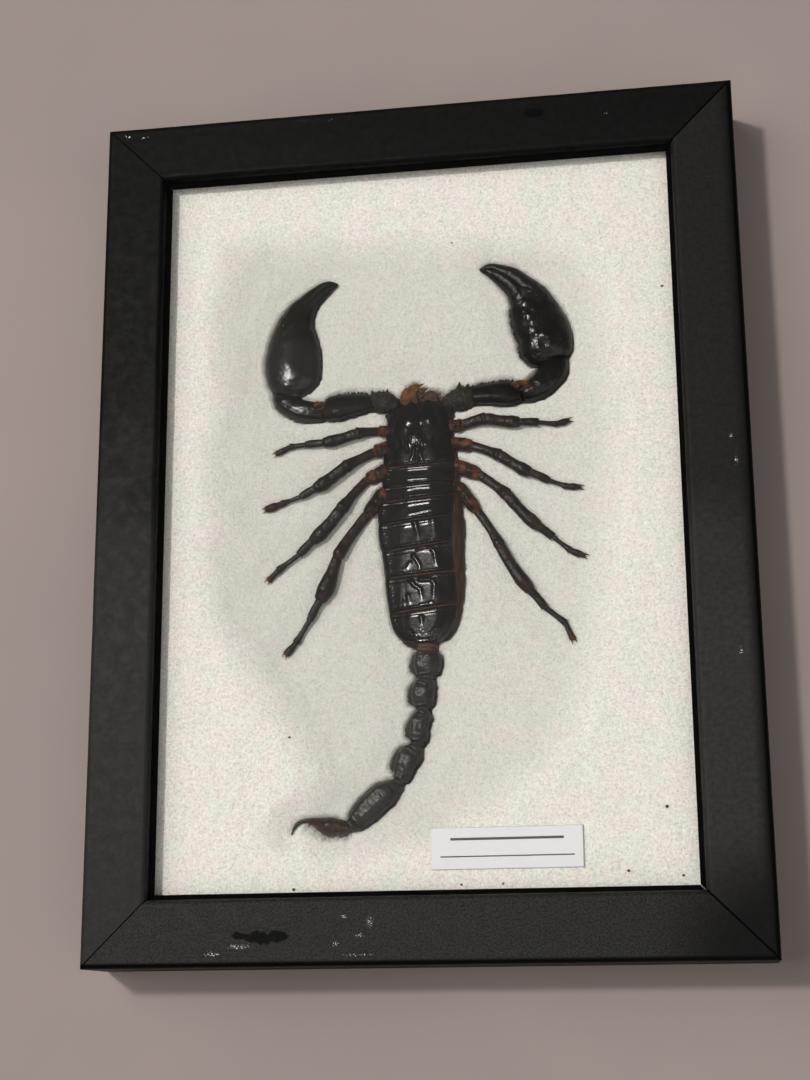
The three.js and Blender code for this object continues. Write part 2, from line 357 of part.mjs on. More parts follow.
// ---- batting ---------------------------------------------------------------
// a pad pressed up to the glass round its edge, hollowed under the animal
{
  const nx = Math.round(BATTING.w / BATTING.cell), ny = Math.round(BATTING.h / BATTING.cell);
  const dx = BATTING.w / nx, dy = BATTING.h / ny;
  const X = i => -BATTING.w / 2 + i * dx, Y = j => -BATTING.h / 2 + j * dy;
  const height = Array.from({ length: (nx + 1) * (ny + 1) }, () => BATTING.top);
  const near = height.map(() => 1e9);
  const press = (x, y, z) => {
    const i0 = Math.floor((x + BATTING.w / 2) / dx), j0 = Math.floor((y + BATTING.h / 2) / dy);
    for (let j = j0 - 1; j <= j0 + 2; j++) for (let i = i0 - 1; i <= i0 + 2; i++) {
      if (i < 0 || j < 0 || i > nx || j > ny) continue;
      const k = j * (nx + 1) + i;
      near[k] = Math.min(near[k], Math.hypot(X(i) - x, Y(j) - y));
      if (i >= i0 && i <= i0 + 1 && j >= j0 && j <= j0 + 1) height[k] = Math.min(height[k], z - BATTING.clear);
    }
  };
  const card = model.getObjectByName('caption_card');
  const frameParts = /^(frame_|glass|backing|sawtooth|hanger|framing)/;
  for (const mesh of model.children) {
    if (frameParts.test(mesh.name)) continue;
    const g = bare(mesh.geometry), p = g.attributes.position, ix = g.index;
    for (let t = 0; t < ix.count; t += 3) {
      const v = [0, 1, 2].map(k => new THREE.Vector3().fromBufferAttribute(p, ix.getX(t + k)));
      const longest = Math.max(v[0].distanceTo(v[1]), v[1].distanceTo(v[2]), v[2].distanceTo(v[0]));
      const m = Math.max(1, Math.ceil(longest / 0.8));
      for (let a = 0; a <= m; a++) for (let b = 0; a + b <= m; b++) {
        const q = v[0].clone().multiplyScalar(a / m).addScaledVector(v[1], b / m).addScaledVector(v[2], 1 - (a + b) / m);
        if (mesh === card) {
          const i0 = Math.floor((q.x + BATTING.w / 2) / dx), j0 = Math.floor((q.y + BATTING.h / 2) / dy);
          for (let j = j0; j <= j0 + 1; j++) for (let i = i0; i <= i0 + 1; i++) height[j * (nx + 1) + i] = Math.min(height[j * (nx + 1) + i], LABEL.z0 - GAP);
        } else press(q.x, q.y, q.z);
      }
    }
  }
  const N = (nx + 1) * (ny + 1), points = [], faces = [];
  for (let j = 0; j <= ny; j++) for (let i = 0; i <= nx; i++) {
    const k = j * (nx + 1) + i, soft = near[k] < 9 ? 2.4 * (1 - near[k] / 9) : 0;
    points.push([X(i), Y(j), Math.max(BATTING.z0 + 0.6, Math.min(height[k], BATTING.top - soft))]);
  }
  for (let j = 0; j < ny; j++) for (let i = 0; i < nx; i++) {
    const a = j * (nx + 1) + i, b = a + 1, c = a + nx + 1, d = c + 1;
    faces.push([a, b, d], [a, d, c]);
  }
  const edge = [];
  for (let i = 0; i < nx; i++) edge.push(i);
  for (let j = 0; j < ny; j++) edge.push(j * (nx + 1) + nx);
  for (let i = nx; i > 0; i--) edge.push(ny * (nx + 1) + i);
  for (let j = ny; j > 0; j--) edge.push(j * (nx + 1));
  edge.forEach(k => points.push([points[k][0], points[k][1], BATTING.z0]));
  const centre = points.push([0, 0, BATTING.z0]) - 1;
  edge.forEach((k, e) => {
    const f = (e + 1) % edge.length;
    faces.push([k, N + e, edge[f]], [edge[f], N + e, N + f], [centre, N + f, N + e]);
  });
  add('batting', closed(points, faces), 'batting');
}

export default model;
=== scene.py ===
# Framed dry scorpion specimen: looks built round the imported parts.
# Lengths in the tables are millimetres in the row frame; meshes are made in metres.
import json
import math

import bmesh
import bpy
import numpy as np
from mathutils import Matrix

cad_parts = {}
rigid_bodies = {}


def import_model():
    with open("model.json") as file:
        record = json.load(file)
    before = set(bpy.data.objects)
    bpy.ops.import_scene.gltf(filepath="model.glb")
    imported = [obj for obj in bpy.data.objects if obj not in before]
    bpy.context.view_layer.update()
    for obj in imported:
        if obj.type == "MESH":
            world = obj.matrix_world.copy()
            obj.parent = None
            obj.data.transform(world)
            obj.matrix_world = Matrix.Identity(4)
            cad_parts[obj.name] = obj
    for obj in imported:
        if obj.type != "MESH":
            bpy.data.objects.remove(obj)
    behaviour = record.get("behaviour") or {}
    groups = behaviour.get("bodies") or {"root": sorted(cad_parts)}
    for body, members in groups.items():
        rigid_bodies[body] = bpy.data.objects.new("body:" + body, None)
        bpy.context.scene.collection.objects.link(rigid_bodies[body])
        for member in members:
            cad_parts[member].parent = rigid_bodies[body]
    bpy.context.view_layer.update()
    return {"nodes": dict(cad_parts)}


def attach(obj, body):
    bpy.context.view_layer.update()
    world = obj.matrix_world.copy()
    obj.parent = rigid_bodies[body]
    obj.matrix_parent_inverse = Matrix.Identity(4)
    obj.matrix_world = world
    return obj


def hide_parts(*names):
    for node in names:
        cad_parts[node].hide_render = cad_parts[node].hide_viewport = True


for _o in list(bpy.data.objects):
    bpy.data.objects.remove(_o)

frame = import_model()
MM = 0.001
RNG = np.random.default_rng(20)

# ---------------------------------------------------------------- tables (mm)
FRAME_W, FRAME_H, FRAME_D = 152.4, 203.2, 20.0
REBATE_U, LIP_U, LIP_Z, LEDGE_Z, STEP_U = 11.9, 16.0, 16.7, 17.3, 14.75
GLASS = (127.0, 177.8, 14.4, 16.4)
BAT_W, BAT_H, BAT_Z0 = 126.4, 177.2, 4.7
LABEL = (1.92, 35.52, -81.15, -72.0, 13.8, 14.05)

TRUNK = np.array([[28.3, -0.2, 5.4], [26.68, -0.14, 7.2], [23.67, -0.14, 7.75], [18.65, -0.14, 8.1], [13.92, -0.04, 8.8], [9.6, 0.01, 9.1], [5.58, -0.04, 9.5], [0.56, -0.14, 10.05], [-4.47, 0.16, 10.15], [-9.49, 0.51, 9.5], [-14.52, 0.76, 9.35], [-19.54, 0.81, 8.9], [-23.56, 0.66, 8.2], [-26.17, 0.51, 7.35], [-27.98, 0.36, 6.2], [-29.39, 0.31, 4.6], [-30.19, 0.41, 2.9]])
LEGS = {
    "left_1": ([[-7.23, 21.76, 10.6], [-9.69, 21.52, 11.5], [-15.14, 21.05, 12.3], [-22.96, 19.28, 12.2], [-27.32, 19.13, 11.9], [-31.19, 18.88, 11.6], [-34.42, 17.46, 11.5]], [[2.4, 2.6, 2.2], [2.0, 2.3, 2.7], [2.5, 2.7, 2.2], [1.6, 1.9, 1.5], [1.1, 1.15, 1.5], [1.1, 1.4, 1.2]]),
    "left_2": ([[-7.63, 17.65, 10.6], [-10.59, 16.46, 11.5], [-17.84, 12.91, 12.3], [-24.86, 8.14, 12.2], [-28.32, 6.38, 11.9], [-33.09, 4.97, 11.6], [-36.82, 3.84, 11.5]], [[3.0, 3.2, 2.6], [2.2, 2.3, 2.9], [2.8, 3.0, 2.5], [1.8, 1.9, 1.6], [1.0, 1.0, 1.5], [1.3, 1.9, 1.4]]),
    "left_3": ([[-8.03, 12.03, 10.6], [-12.49, 9.85, 11.5], [-18.74, 2.61, 12.3], [-25.56, -4.65, 12.2], [-28.72, -7.67, 11.9], [-33.69, -11.1, 11.6], [-36.02, -13.38, 11.5]], [[3.4, 3.2, 2.5], [2.0, 2.2, 2.9], [2.8, 3.1, 2.4], [1.9, 2.1, 1.7], [1.1, 1.15, 1.6], [1.2, 1.3, 1.4]]),
    "left_4": ([[-8.64, 6.61, 10.6], [-12.49, 1.44, 11.5], [-19.54, -8.68, 12.3], [-23.66, -18.85, 12.2], [-26.12, -23.48, 11.9], [-29.39, -28.52, 11.6], [-31.71, -31.1, 11.5]], [[3.4, 3.2, 2.6], [2.3, 2.5, 2.7], [2.4, 3.7, 2.9], [1.8, 2.0, 1.6], [1.2, 1.2, 1.6], [1.2, 1.6, 1.5]]),
    "right_1": ([[6.82, 22.06, 10.6], [10.14, 21.87, 11.5], [15.83, 23.0, 12.3], [23.62, 21.68, 12.2], [27.99, 21.43, 11.9], [32.17, 20.88, 11.6], [34.97, 21.67, 11.5]], [[2.6, 3.0, 2.6], [2.4, 2.6, 2.8], [2.7, 2.8, 2.4], [1.7, 1.9, 1.7], [1.0, 1.05, 1.3], [1.2, 1.6, 1.0]]),
    "right_2": ([[7.22, 17.85, 10.6], [12.14, 16.76, 11.5], [18.93, 13.71, 12.3], [25.72, 9.34, 12.2], [29.99, 7.23, 11.9], [33.97, 5.72, 11.6], [37.07, 5.45, 11.5]], [[2.8, 3.1, 2.6], [2.2, 2.2, 2.8], [2.7, 2.7, 2.5], [1.8, 1.9, 1.6], [1.0, 1.0, 1.4], [1.3, 1.6, 1.0]]),
    "right_3": ([[7.62, 12.63, 10.6], [13.74, 9.65, 11.5], [20.43, 4.01, 12.3], [27.42, -3.75, 12.2], [30.59, -6.27, 11.9], [34.37, -9.5, 11.6], [37.57, -10.87, 11.5]], [[3.3, 3.3, 2.6], [2.2, 2.3, 2.9], [2.8, 2.8, 2.5], [2.0, 2.0, 1.7], [1.0, 1.05, 1.4], [1.3, 1.7, 1.0]]),
    "right_4": ([[8.82, 7.01, 10.6], [13.04, 1.14, 11.5], [18.53, -8.08, 12.3], [25.12, -18.65, 12.2], [28.19, -22.58, 11.9], [32.87, -26.41, 11.6], [34.37, -30.1, 11.5]], [[3.2, 3.2, 2.4], [2.0, 2.0, 2.6], [2.6, 3.0, 2.5], [1.9, 1.9, 1.7], [1.3, 1.3, 1.5], [1.1, 1.3, 1.4]]),
}
HAND = {
    "left": [[-30.71, 31.7, 10.6, 2.0, 1.6], [-30.73, 32.84, 10.5, 4.3, 2.6], [-30.76, 34.58, 10.4, 5.85, 3.1], [-30.68, 37.13, 10.3, 6.6, 3.4], [-30.73, 39.64, 10.3, 6.85, 3.5], [-30.73, 42.05, 10.3, 6.65, 3.45], [-30.65, 44.72, 10.4, 6.2, 3.3], [-30.48, 47.34, 10.5, 5.45, 3.0], [-30.16, 49.56, 10.6, 4.65, 2.7], [-29.48, 51.42, 10.7, 4.0, 2.45], [-28.51, 53.29, 10.8, 3.25, 2.2]],
    "right": [[30.48, 36.19, 10.4, 2.0, 1.6], [30.28, 36.89, 10.4, 4.2, 2.5], [30.18, 38.29, 10.4, 5.7, 3.0], [30.07, 40.84, 10.3, 6.4, 3.4], [29.97, 43.05, 10.3, 6.3, 3.5], [29.27, 45.06, 10.3, 6.4, 3.5], [28.47, 46.77, 10.3, 6.3, 3.4], [27.87, 48.53, 10.4, 6.05, 3.2], [27.18, 50.5, 10.5, 5.6, 3.0], [26.43, 52.62, 10.6, 4.92, 2.75], [25.54, 54.08, 10.7, 4.2, 2.5]],
}
FINGERS = {
    "left": [[-28.51, 53.29, 10.8, 3.25, 2.2], [-27.24, 54.9, 10.9, 2.6, 2.0], [-25.66, 56.52, 11.0, 2.2, 1.8], [-24.29, 57.68, 11.1, 1.93, 1.6], [-23.01, 58.54, 11.2, 1.7, 1.4], [-21.59, 59.2, 11.3, 1.27, 1.1], [-20.12, 59.25, 11.4, 0.5, 0.5]],
    "right": [[25.54, 54.08, 10.7, 4.2, 2.5], [24.04, 56.0, 10.8, 3.5, 2.2], [22.2, 57.86, 10.9, 3.1, 1.95], [20.5, 58.97, 11.0, 2.65, 1.7], [18.76, 59.98, 11.1, 2.1, 1.45], [16.91, 60.69, 11.2, 1.45, 1.1], [15.32, 60.6, 11.3, 0.5, 0.5]],
}
PATELLA = {
    "left": [[-34.71, 33.19, 9.8, 1.1, 1.2], [-33.48, 31.44, 9.9, 2.2, 2.2], [-31.45, 29.6, 10.0, 2.5, 2.6], [-28.69, 28.22, 10.2, 2.7, 2.7], [-25.94, 27.65, 10.4, 2.5, 2.5], [-23.71, 27.42, 10.5, 2.3, 2.2]],
    "right": [[33.86, 37.71, 9.8, 1.5, 1.3], [32.86, 35.97, 9.9, 2.7, 2.3], [31.56, 33.92, 10.0, 3.3, 2.7], [29.96, 32.08, 10.1, 3.3, 2.8], [28.07, 30.6, 10.3, 3.0, 2.6], [26.07, 29.76, 10.4, 2.6, 2.4], [24.77, 29.52, 10.5, 2.35, 2.2]],
}
FEMUR = {
    "left": [[-22.68, 27.38, 10.6, 2.3, 2.2], [-20.86, 27.75, 10.7, 3.1, 2.6], [-17.73, 28.42, 10.8, 2.95, 2.6], [-14.22, 28.82, 10.8, 2.5, 2.4], [-11.81, 29.02, 10.8, 1.95, 2.1]],
    "right": [[23.67, 29.39, 10.6, 2.5, 2.2], [21.48, 29.35, 10.7, 3.0, 2.6], [18.68, 29.42, 10.8, 2.85, 2.6], [15.47, 29.42, 10.8, 2.3, 2.4], [13.06, 29.37, 10.8, 1.95, 2.1]],
}
TROCH = {
    "left": [[-11.33, 29.4, 10.7, 2.2, 2.0], [-9.42, 29.05, 10.7, 2.7, 2.4], [-7.63, 28.69, 10.6, 2.5, 2.3], [-5.86, 28.15, 10.4, 1.8, 1.9]],
    "right": [[12.55, 29.15, 10.7, 2.5, 2.1], [10.44, 28.75, 10.7, 3.0, 2.4], [8.62, 28.39, 10.6, 2.7, 2.3], [6.39, 27.75, 10.4, 1.9, 1.9]],
}
TAIL = [
    [[1.08, -31.06, 10.8, 2.1, 2.2], [1.03, -32.56, 10.8, 3.4, 3.0], [0.98, -34.37, 10.8, 3.5, 3.1], [0.93, -36.17, 10.8, 3.3, 3.0], [1.03, -37.78, 10.8, 2.2, 2.3]],
    [[0.93, -38.28, 10.8, 2.15, 2.2], [0.32, -40.08, 10.8, 3.05, 2.9], [0.02, -41.79, 10.8, 3.25, 3.0], [0.12, -43.59, 10.8, 2.7, 2.7], [0.22, -44.9, 10.8, 1.9, 2.1]],
    [[0.17, -45.4, 10.8, 1.8, 2.0], [-0.38, -47.2, 10.8, 2.45, 2.7], [-0.88, -49.21, 10.8, 2.7, 2.9], [-1.08, -51.22, 10.8, 2.6, 2.7], [-1.08, -52.82, 10.8, 1.95, 2.1]],
    [[-1.48, -53.42, 10.8, 1.8, 2.0], [-2.79, -55.03, 10.8, 2.9, 2.7], [-4.09, -57.23, 10.8, 3.0, 2.9], [-4.79, -59.24, 10.8, 2.6, 2.6], [-5.69, -61.35, 10.8, 1.6, 2.0]],
    [[-6.08, -61.86, 10.9, 1.7, 1.9], [-8.08, -63.36, 10.9, 2.8, 2.6], [-10.49, -65.17, 10.9, 3.1, 2.8], [-13.08, -67.49, 11.0, 3.0, 2.6], [-15.18, -69.49, 11.0, 2.45, 2.2], [-16.59, -70.79, 11.0, 1.6, 1.7]],
]
TELSON = [[-17.09, -71.19, 11.0, 1.1, 1.3], [-18.39, -70.99, 11.0, 1.6, 1.8], [-20.2, -70.79, 11.0, 1.95, 2.1], [-22.0, -70.69, 11.0, 2.1, 2.2], [-23.2, -70.34, 11.0, 1.7, 1.8], [-24.41, -69.89, 11.0, 1.2, 1.3], [-25.61, -69.49, 11.0, 0.75, 0.9], [-27.41, -69.44, 11.0, 0.47, 0.6], [-28.82, -69.99, 11.0, 0.42, 0.45], [-29.67, -71.09, 11.0, 0.3, 0.35], [-30.17, -72.4, 11.0, 0.15, 0.2]]


# ---------------------------------------------------------------- noise
def _hash(i, j, k, seed):
    with np.errstate(over="ignore"):
        h = (i.astype(np.uint32) * np.uint32(374761393) + j.astype(np.uint32) * np.uint32(668265263)
             + k.astype(np.uint32) * np.uint32(2246822519) + np.uint32(seed * 3266489917 % 4294967296))
        h = (h ^ (h >> np.uint32(13))) * np.uint32(1274126177)
        h = (h ^ (h >> np.uint32(16))) * np.uint32(2654435761)
        return h ^ (h >> np.uint32(15))


def vnoise(P, seed=0):
    """Smooth value noise in [-1, 1] at points P (n, 3)."""
    P = np.asarray(P, float)
    I = np.floor(P).astype(np.int64)
    f = P - I
    f = f * f * f * (f * (f * 6 - 15) + 10)
    out = np.zeros(P.shape[:-1])
    for a in (0, 1):
        for b in (0, 1):
            for c in (0, 1):
                w = (f[..., 0] if a else 1 - f[..., 0]) * (f[..., 1] if b else 1 - f[..., 1]) * (f[..., 2] if c else 1 - f[..., 2])
                out += w * (_hash(I[..., 0] + a, I[..., 1] + b, I[..., 2] + c, seed) / 2147483647.5 - 1)
    return out


def fbm(P, octaves=4, seed=0, gain=0.5):
    out, amp, tot = 0, 1.0, 0.0
    P = np.asarray(P, float)
    for o in range(octaves):
        out = out + amp * vnoise(P * 2.03**o, seed + o)
        tot += amp
        amp *= gain
    return out / tot


def granules(P, size, seed=0, fill=0.75):
    """Round bumps in [0, 1] scattered about `size` apart."""
    Q = np.asarray(P, float) / size
    I = np.floor(Q).astype(np.int64)
    best = np.full(Q.shape[:-1], 9.0)
    for a in (-1, 0, 1):
        for b in (-1, 0, 1):
            for c in (-1, 0, 1):
                i, j, k = I[..., 0] + a, I[..., 1] + b, I[..., 2] + c
                p = np.stack([i + _hash(i, j, k, seed) / 4294967295.0, j + _hash(i, j, k, seed + 7) / 4294967295.0, k + _hash(i, j, k, seed + 13) / 4294967295.0], -1)
                on = _hash(i, j, k, seed + 29) / 4294967295.0 < fill
                d = np.where(on, np.sqrt(((Q - p) ** 2).sum(-1)), 9.0)
                best = np.minimum(best, d)
    return np.clip(1 - (best / 0.5) ** 2, 0, 1)


def smooth(a, b, x):
    t = np.clip((x - a) / (b - a), 0, 1)
    return t * t * (3 - 2 * t)


def bell(x, w):
    return np.exp(-((x / w) ** 2))


def ridge(th, at, w):
    """Bell round the angle `at` of a limb section."""
    return bell(np.angle(np.exp(1j * (th - at))), w)


# ---------------------------------------------------------------- meshes
class Geo:
    """Vertices, faces and a per-vertex tone gathered for one piece."""

    def __init__(self):
        self.v, self.q, self.t, self.tone, self.n = [], [], [], [], 0

    def points(self, V, tone=0.0):
        V = np.asarray(V, float).reshape(-1, 3)
        first = self.n
        self.v.append(V)
        self.tone.append(np.broadcast_to(np.asarray(tone, float).reshape(-1), (len(V),)) if np.size(tone) > 1 else np.full(len(V), float(tone)))
        self.n += len(V)
        return first

    def grid(self, V, tone=0.0, wrap=False):
        """Quads over V (rows, cols, 3); wrap joins the last column to the first."""
        r, c = V.shape[:2]
        first = self.points(V, tone)
        i = np.arange(r - 1)[:, None]
        j = np.arange(c if wrap else c - 1)[None, :]
        a, b = i * c + j, i * c + (j + 1) % c
        self.q.append(np.stack([a, b, b + c, a + c], -1).reshape(-1, 4) + first)
        return first

    def fan(self, centre, ring, tone=0.0, flip=False):
        k = self.points([centre], tone)
        ring = np.asarray(ring)
        nxt = np.roll(ring, -1)
        t = np.stack([np.full(len(ring), k), ring, nxt], -1)
        self.t.append(t[:, [0, 2, 1]] if flip else t)

    def add(self, V, quads=None, tris=None, tone=0.0):
        first = self.points(V, tone)
        if quads is not None and len(quads):
            self.q.append(np.asarray(quads) + first)
        if tris is not None and len(tris):
            self.t.append(np.asarray(tris) + first)

    def obj(self, name, mat, slot=None, replaces=(), outward=True):
        V = np.concatenate(self.v)
        Q = np.concatenate(self.q) if self.q else np.zeros((0, 4), int)
        T = np.concatenate(self.t) if self.t else np.zeros((0, 3), int)
        me = bpy.data.meshes.new(name)
        me.vertices.add(len(V))
        me.vertices.foreach_set("co", (V * MM).astype(np.float32).ravel())
        loops = np.concatenate([Q.ravel(), T.ravel()]).astype(np.int32)
        me.loops.add(len(loops))
        me.loops.foreach_set("vertex_index", loops)
        sizes = np.concatenate([np.full(len(Q), 4), np.full(len(T), 3)]).astype(np.int32)
        me.polygons.add(len(sizes))
        me.polygons.foreach_set("loop_start", np.concatenate([[0], np.cumsum(sizes)[:-1]]).astype(np.int32))
        me.polygons.foreach_set("use_smooth", np.ones(len(sizes), bool))
        me.update(calc_edges=True)
        me.validate()
        at = me.attributes.new("tone", "FLOAT", "POINT")
        at.data.foreach_set("value", np.concatenate(self.tone).astype(np.float32))
        ob = bpy.data.objects.new(name, me)
        bpy.context.scene.collection.objects.link(ob)
        if outward:
            bm = bmesh.new()
            bm.from_mesh(me)
            bmesh.ops.recalc_face_normals(bm, faces=bm.faces)
            bm.to_mesh(me)
            bm.free()
        me.materials.append(mat)
        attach(ob, "root")
        if replaces:
            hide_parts(*replaces)
        return ob


def hermite(K, t, V):
    V = np.asarray(V, float)
    m = np.gradient(V, K, axis=0) if len(K) > 2 else np.repeat((V[1:] - V[:1]) / (K[1] - K[0]), 2, 0)
    i = np.clip(np.searchsorted(K, t, side="right") - 1, 0, len(K) - 2)
    h = (K[i + 1] - K[i])[:, None]
    s = ((t - K[i]) / (K[i + 1] - K[i]))[:, None]
    return ((2 * s**3 - 3 * s**2 + 1) * V[i] + (s**3 - 2 * s**2 + s) * h * m[i]
            + (-2 * s**3 + 3 * s**2) * V[i + 1] + (s**3 - s**2) * h * m[i + 1])


def unit(v):
    return v / np.maximum(np.linalg.norm(v, axis=-1, keepdims=True), 1e-9)


def tube(geo, st, nu=24, nv=40, n=2.2, cap=(0.6, 0.6), ncap=5, shape=None, tone=None, roll=0.0, warp=None):
    """Closed limb through stations [x, y, z, half width, half height], with domed ends.
    shape(P, th, t, N) gives an outward push in mm; tone(P, th, t) the vertex tone.
    th runs from 0 on the right of travel, a quarter turn at the top."""
    st = np.asarray(st, float)
    K = np.concatenate([[0], np.cumsum(np.linalg.norm(np.diff(st[:, :3], axis=0), axis=1))])
    K = K / K[-1]
    tt = np.linspace(0, 1, nv)
    c, r = hermite(K, tt, st[:, :3]), np.maximum(hermite(K, tt, st[:, 3:5]), 0.03)
    T = unit(np.gradient(c, axis=0))
    C, A, B, TT, TN = [], [], [], [], []
    for i in range(1, ncap):
        ph = math.pi / 2 * i / ncap
        C.append(c[0] - T[0] * cap[0] * min(r[0]) * math.cos(ph)); A.append(r[0, 0] * math.sin(ph)); B.append(r[0, 1] * math.sin(ph)); TT.append(0.0); TN.append(T[0])
    for i in range(nv):
        C.append(c[i]); A.append(r[i, 0]); B.append(r[i, 1]); TT.append(tt[i]); TN.append(T[i])
    for i in range(ncap - 1, 0, -1):
        ph = math.pi / 2 * i / ncap
        C.append(c[-1] + T[-1] * cap[1] * min(r[-1]) * math.cos(ph)); A.append(r[-1, 0] * math.sin(ph)); B.append(r[-1, 1] * math.sin(ph)); TT.append(1.0); TN.append(T[-1])
    C, A, B, TT, TN = map(np.array, (C, A, B, TT, TN))
    S = unit(np.cross(TN, [0, 0, 1.0]))
    U = unit(np.cross(S, TN))
    th = 2 * math.pi * np.arange(nu) / nu
    ct, sn = np.cos(th + roll), np.sin(th + roll)
    cx = np.sign(ct) * np.abs(ct) ** (2 / n)
    sx = np.sign(sn) * np.abs(sn) ** (2 / n)
    V = C[:, None] + S[:, None] * (A[:, None] * cx)[..., None] + U[:, None] * (B[:, None] * sx)[..., None]
    N = unit(S[:, None] * (ct[None] / np.maximum(A[:, None], 0.05))[..., None] + U[:, None] * (sn[None] / np.maximum(B[:, None], 0.05))[..., None])
    tg = np.repeat(TT[:, None], nu, 1)
    tg2 = np.repeat(th[None], len(TT), 0)
    if shape is not None:
        fade = np.minimum(1, np.minimum(A, B) / np.maximum(0.35 * np.minimum(r[:, 0].max(), r[:, 1].max()), 0.05))[:, None]
        V = V + N * (shape(V, tg2, tg, N) * fade)[..., None]
    if warp is not None:
        V = warp(V)
    tn = tone(V, tg2, tg) if callable(tone) else (tone or 0.0)
    rows = len(TT)
    first = geo.grid(V, tn.reshape(-1) if isinstance(tn, np.ndarray) else tn, wrap=True)
    t0 = float(np.mean(tn[0])) if isinstance(tn, np.ndarray) else tn
    t1 = float(np.mean(tn[-1])) if isinstance(tn, np.ndarray) else tn
    geo.fan(c[0] - T[0] * cap[0] * min(r[0]), first + np.arange(nu), t0, flip=True)
    geo.fan(c[-1] + T[-1] * cap[1] * min(r[-1]), first + (rows - 1) * nu + np.arange(nu), t1)
    return V


def blob(geo, c, r, tone=0.0, nu=14, nv=9, seed=0, rough=0.06):
    """Small closed ellipsoid."""
    ph = np.linspace(0, math.pi, nv + 2)[1:-1]
    th = 2 * math.pi * np.arange(nu) / nu
    V = np.stack([np.sin(ph)[:, None] * np.cos(th)[None], np.sin(ph)[:, None] * np.sin(th)[None], np.repeat(np.cos(ph)[:, None], nu, 1)], -1)
    c, r = np.asarray(c, float), np.asarray(r, float)
    V = V * (1 + rough * vnoise(V * 2 + seed * 3.1, seed)[..., None])
    P = c + V * r
    first = geo.grid(P, tone, wrap=True)
    geo.fan(c + [0, 0, r[2]], first + np.arange(nu), tone)
    geo.fan(c - [0, 0, r[2]], first + (nv - 1) * nu + np.arange(nu), tone, flip=True)


def strands(geo, paths, radii, tone=0.0):
    """Closed three-sided strands along paths (n, k, 3) with radii (n, k)."""
    n, k = paths.shape[:2]
    T = unit(np.gradient(paths, axis=1))
    ref = np.where(np.abs(T[..., 2:3]) > 0.9, np.array([1.0, 0, 0]), np.array([0, 0, 1.0]))
    S = unit(np.cross(T, ref))
    U = np.cross(S, T)
    a = 2 * math.pi * np.arange(3) / 3 + math.pi / 2
    V = paths[:, :, None] + radii[:, :, None, None] * (np.cos(a)[None, None, :, None] * S[:, :, None] + np.sin(a)[None, None, :, None] * U[:, :, None])
    base = np.arange(n)[:, None, None] * (k * 3)
    i = np.arange(k - 1)[None, :, None] * 3
    j = np.arange(3)[None, None, :]
    j2 = (j + 1) % 3
    q = np.stack([base + i + j, base + i + j2, base + i + 3 + j2, base + i + 3 + j], -1).reshape(-1, 4)
    b = np.arange(n) * (k * 3)
    e = b + (k - 1) * 3
    t = np.concatenate([np.stack([b, b + 2, b + 1], -1), np.stack([e, e + 1, e + 2], -1)])
    geo.add(V.reshape(-1, 3), q, t, tone)


def hairs(geo, roots, dirs, length, radius, bend=0.15, tone=0.6, k=5, rng=RNG):
    """Tapering bristles from roots along dirs."""
    n = len(roots)
    L = length * rng.uniform(0.6, 1.25, n)
    s = np.linspace(0, 1, k)
    side = unit(rng.normal(size=(n, 3)))
    P = roots[:, None] + dirs[:, None] * (L[:, None] * s)[..., None] + side[:, None] * (bend * L[:, None] * s**2)[..., None]
    R = radius * (1 - 0.9 * s)[None] * np.ones((n, 1))
    strands(geo, P, R, tone)


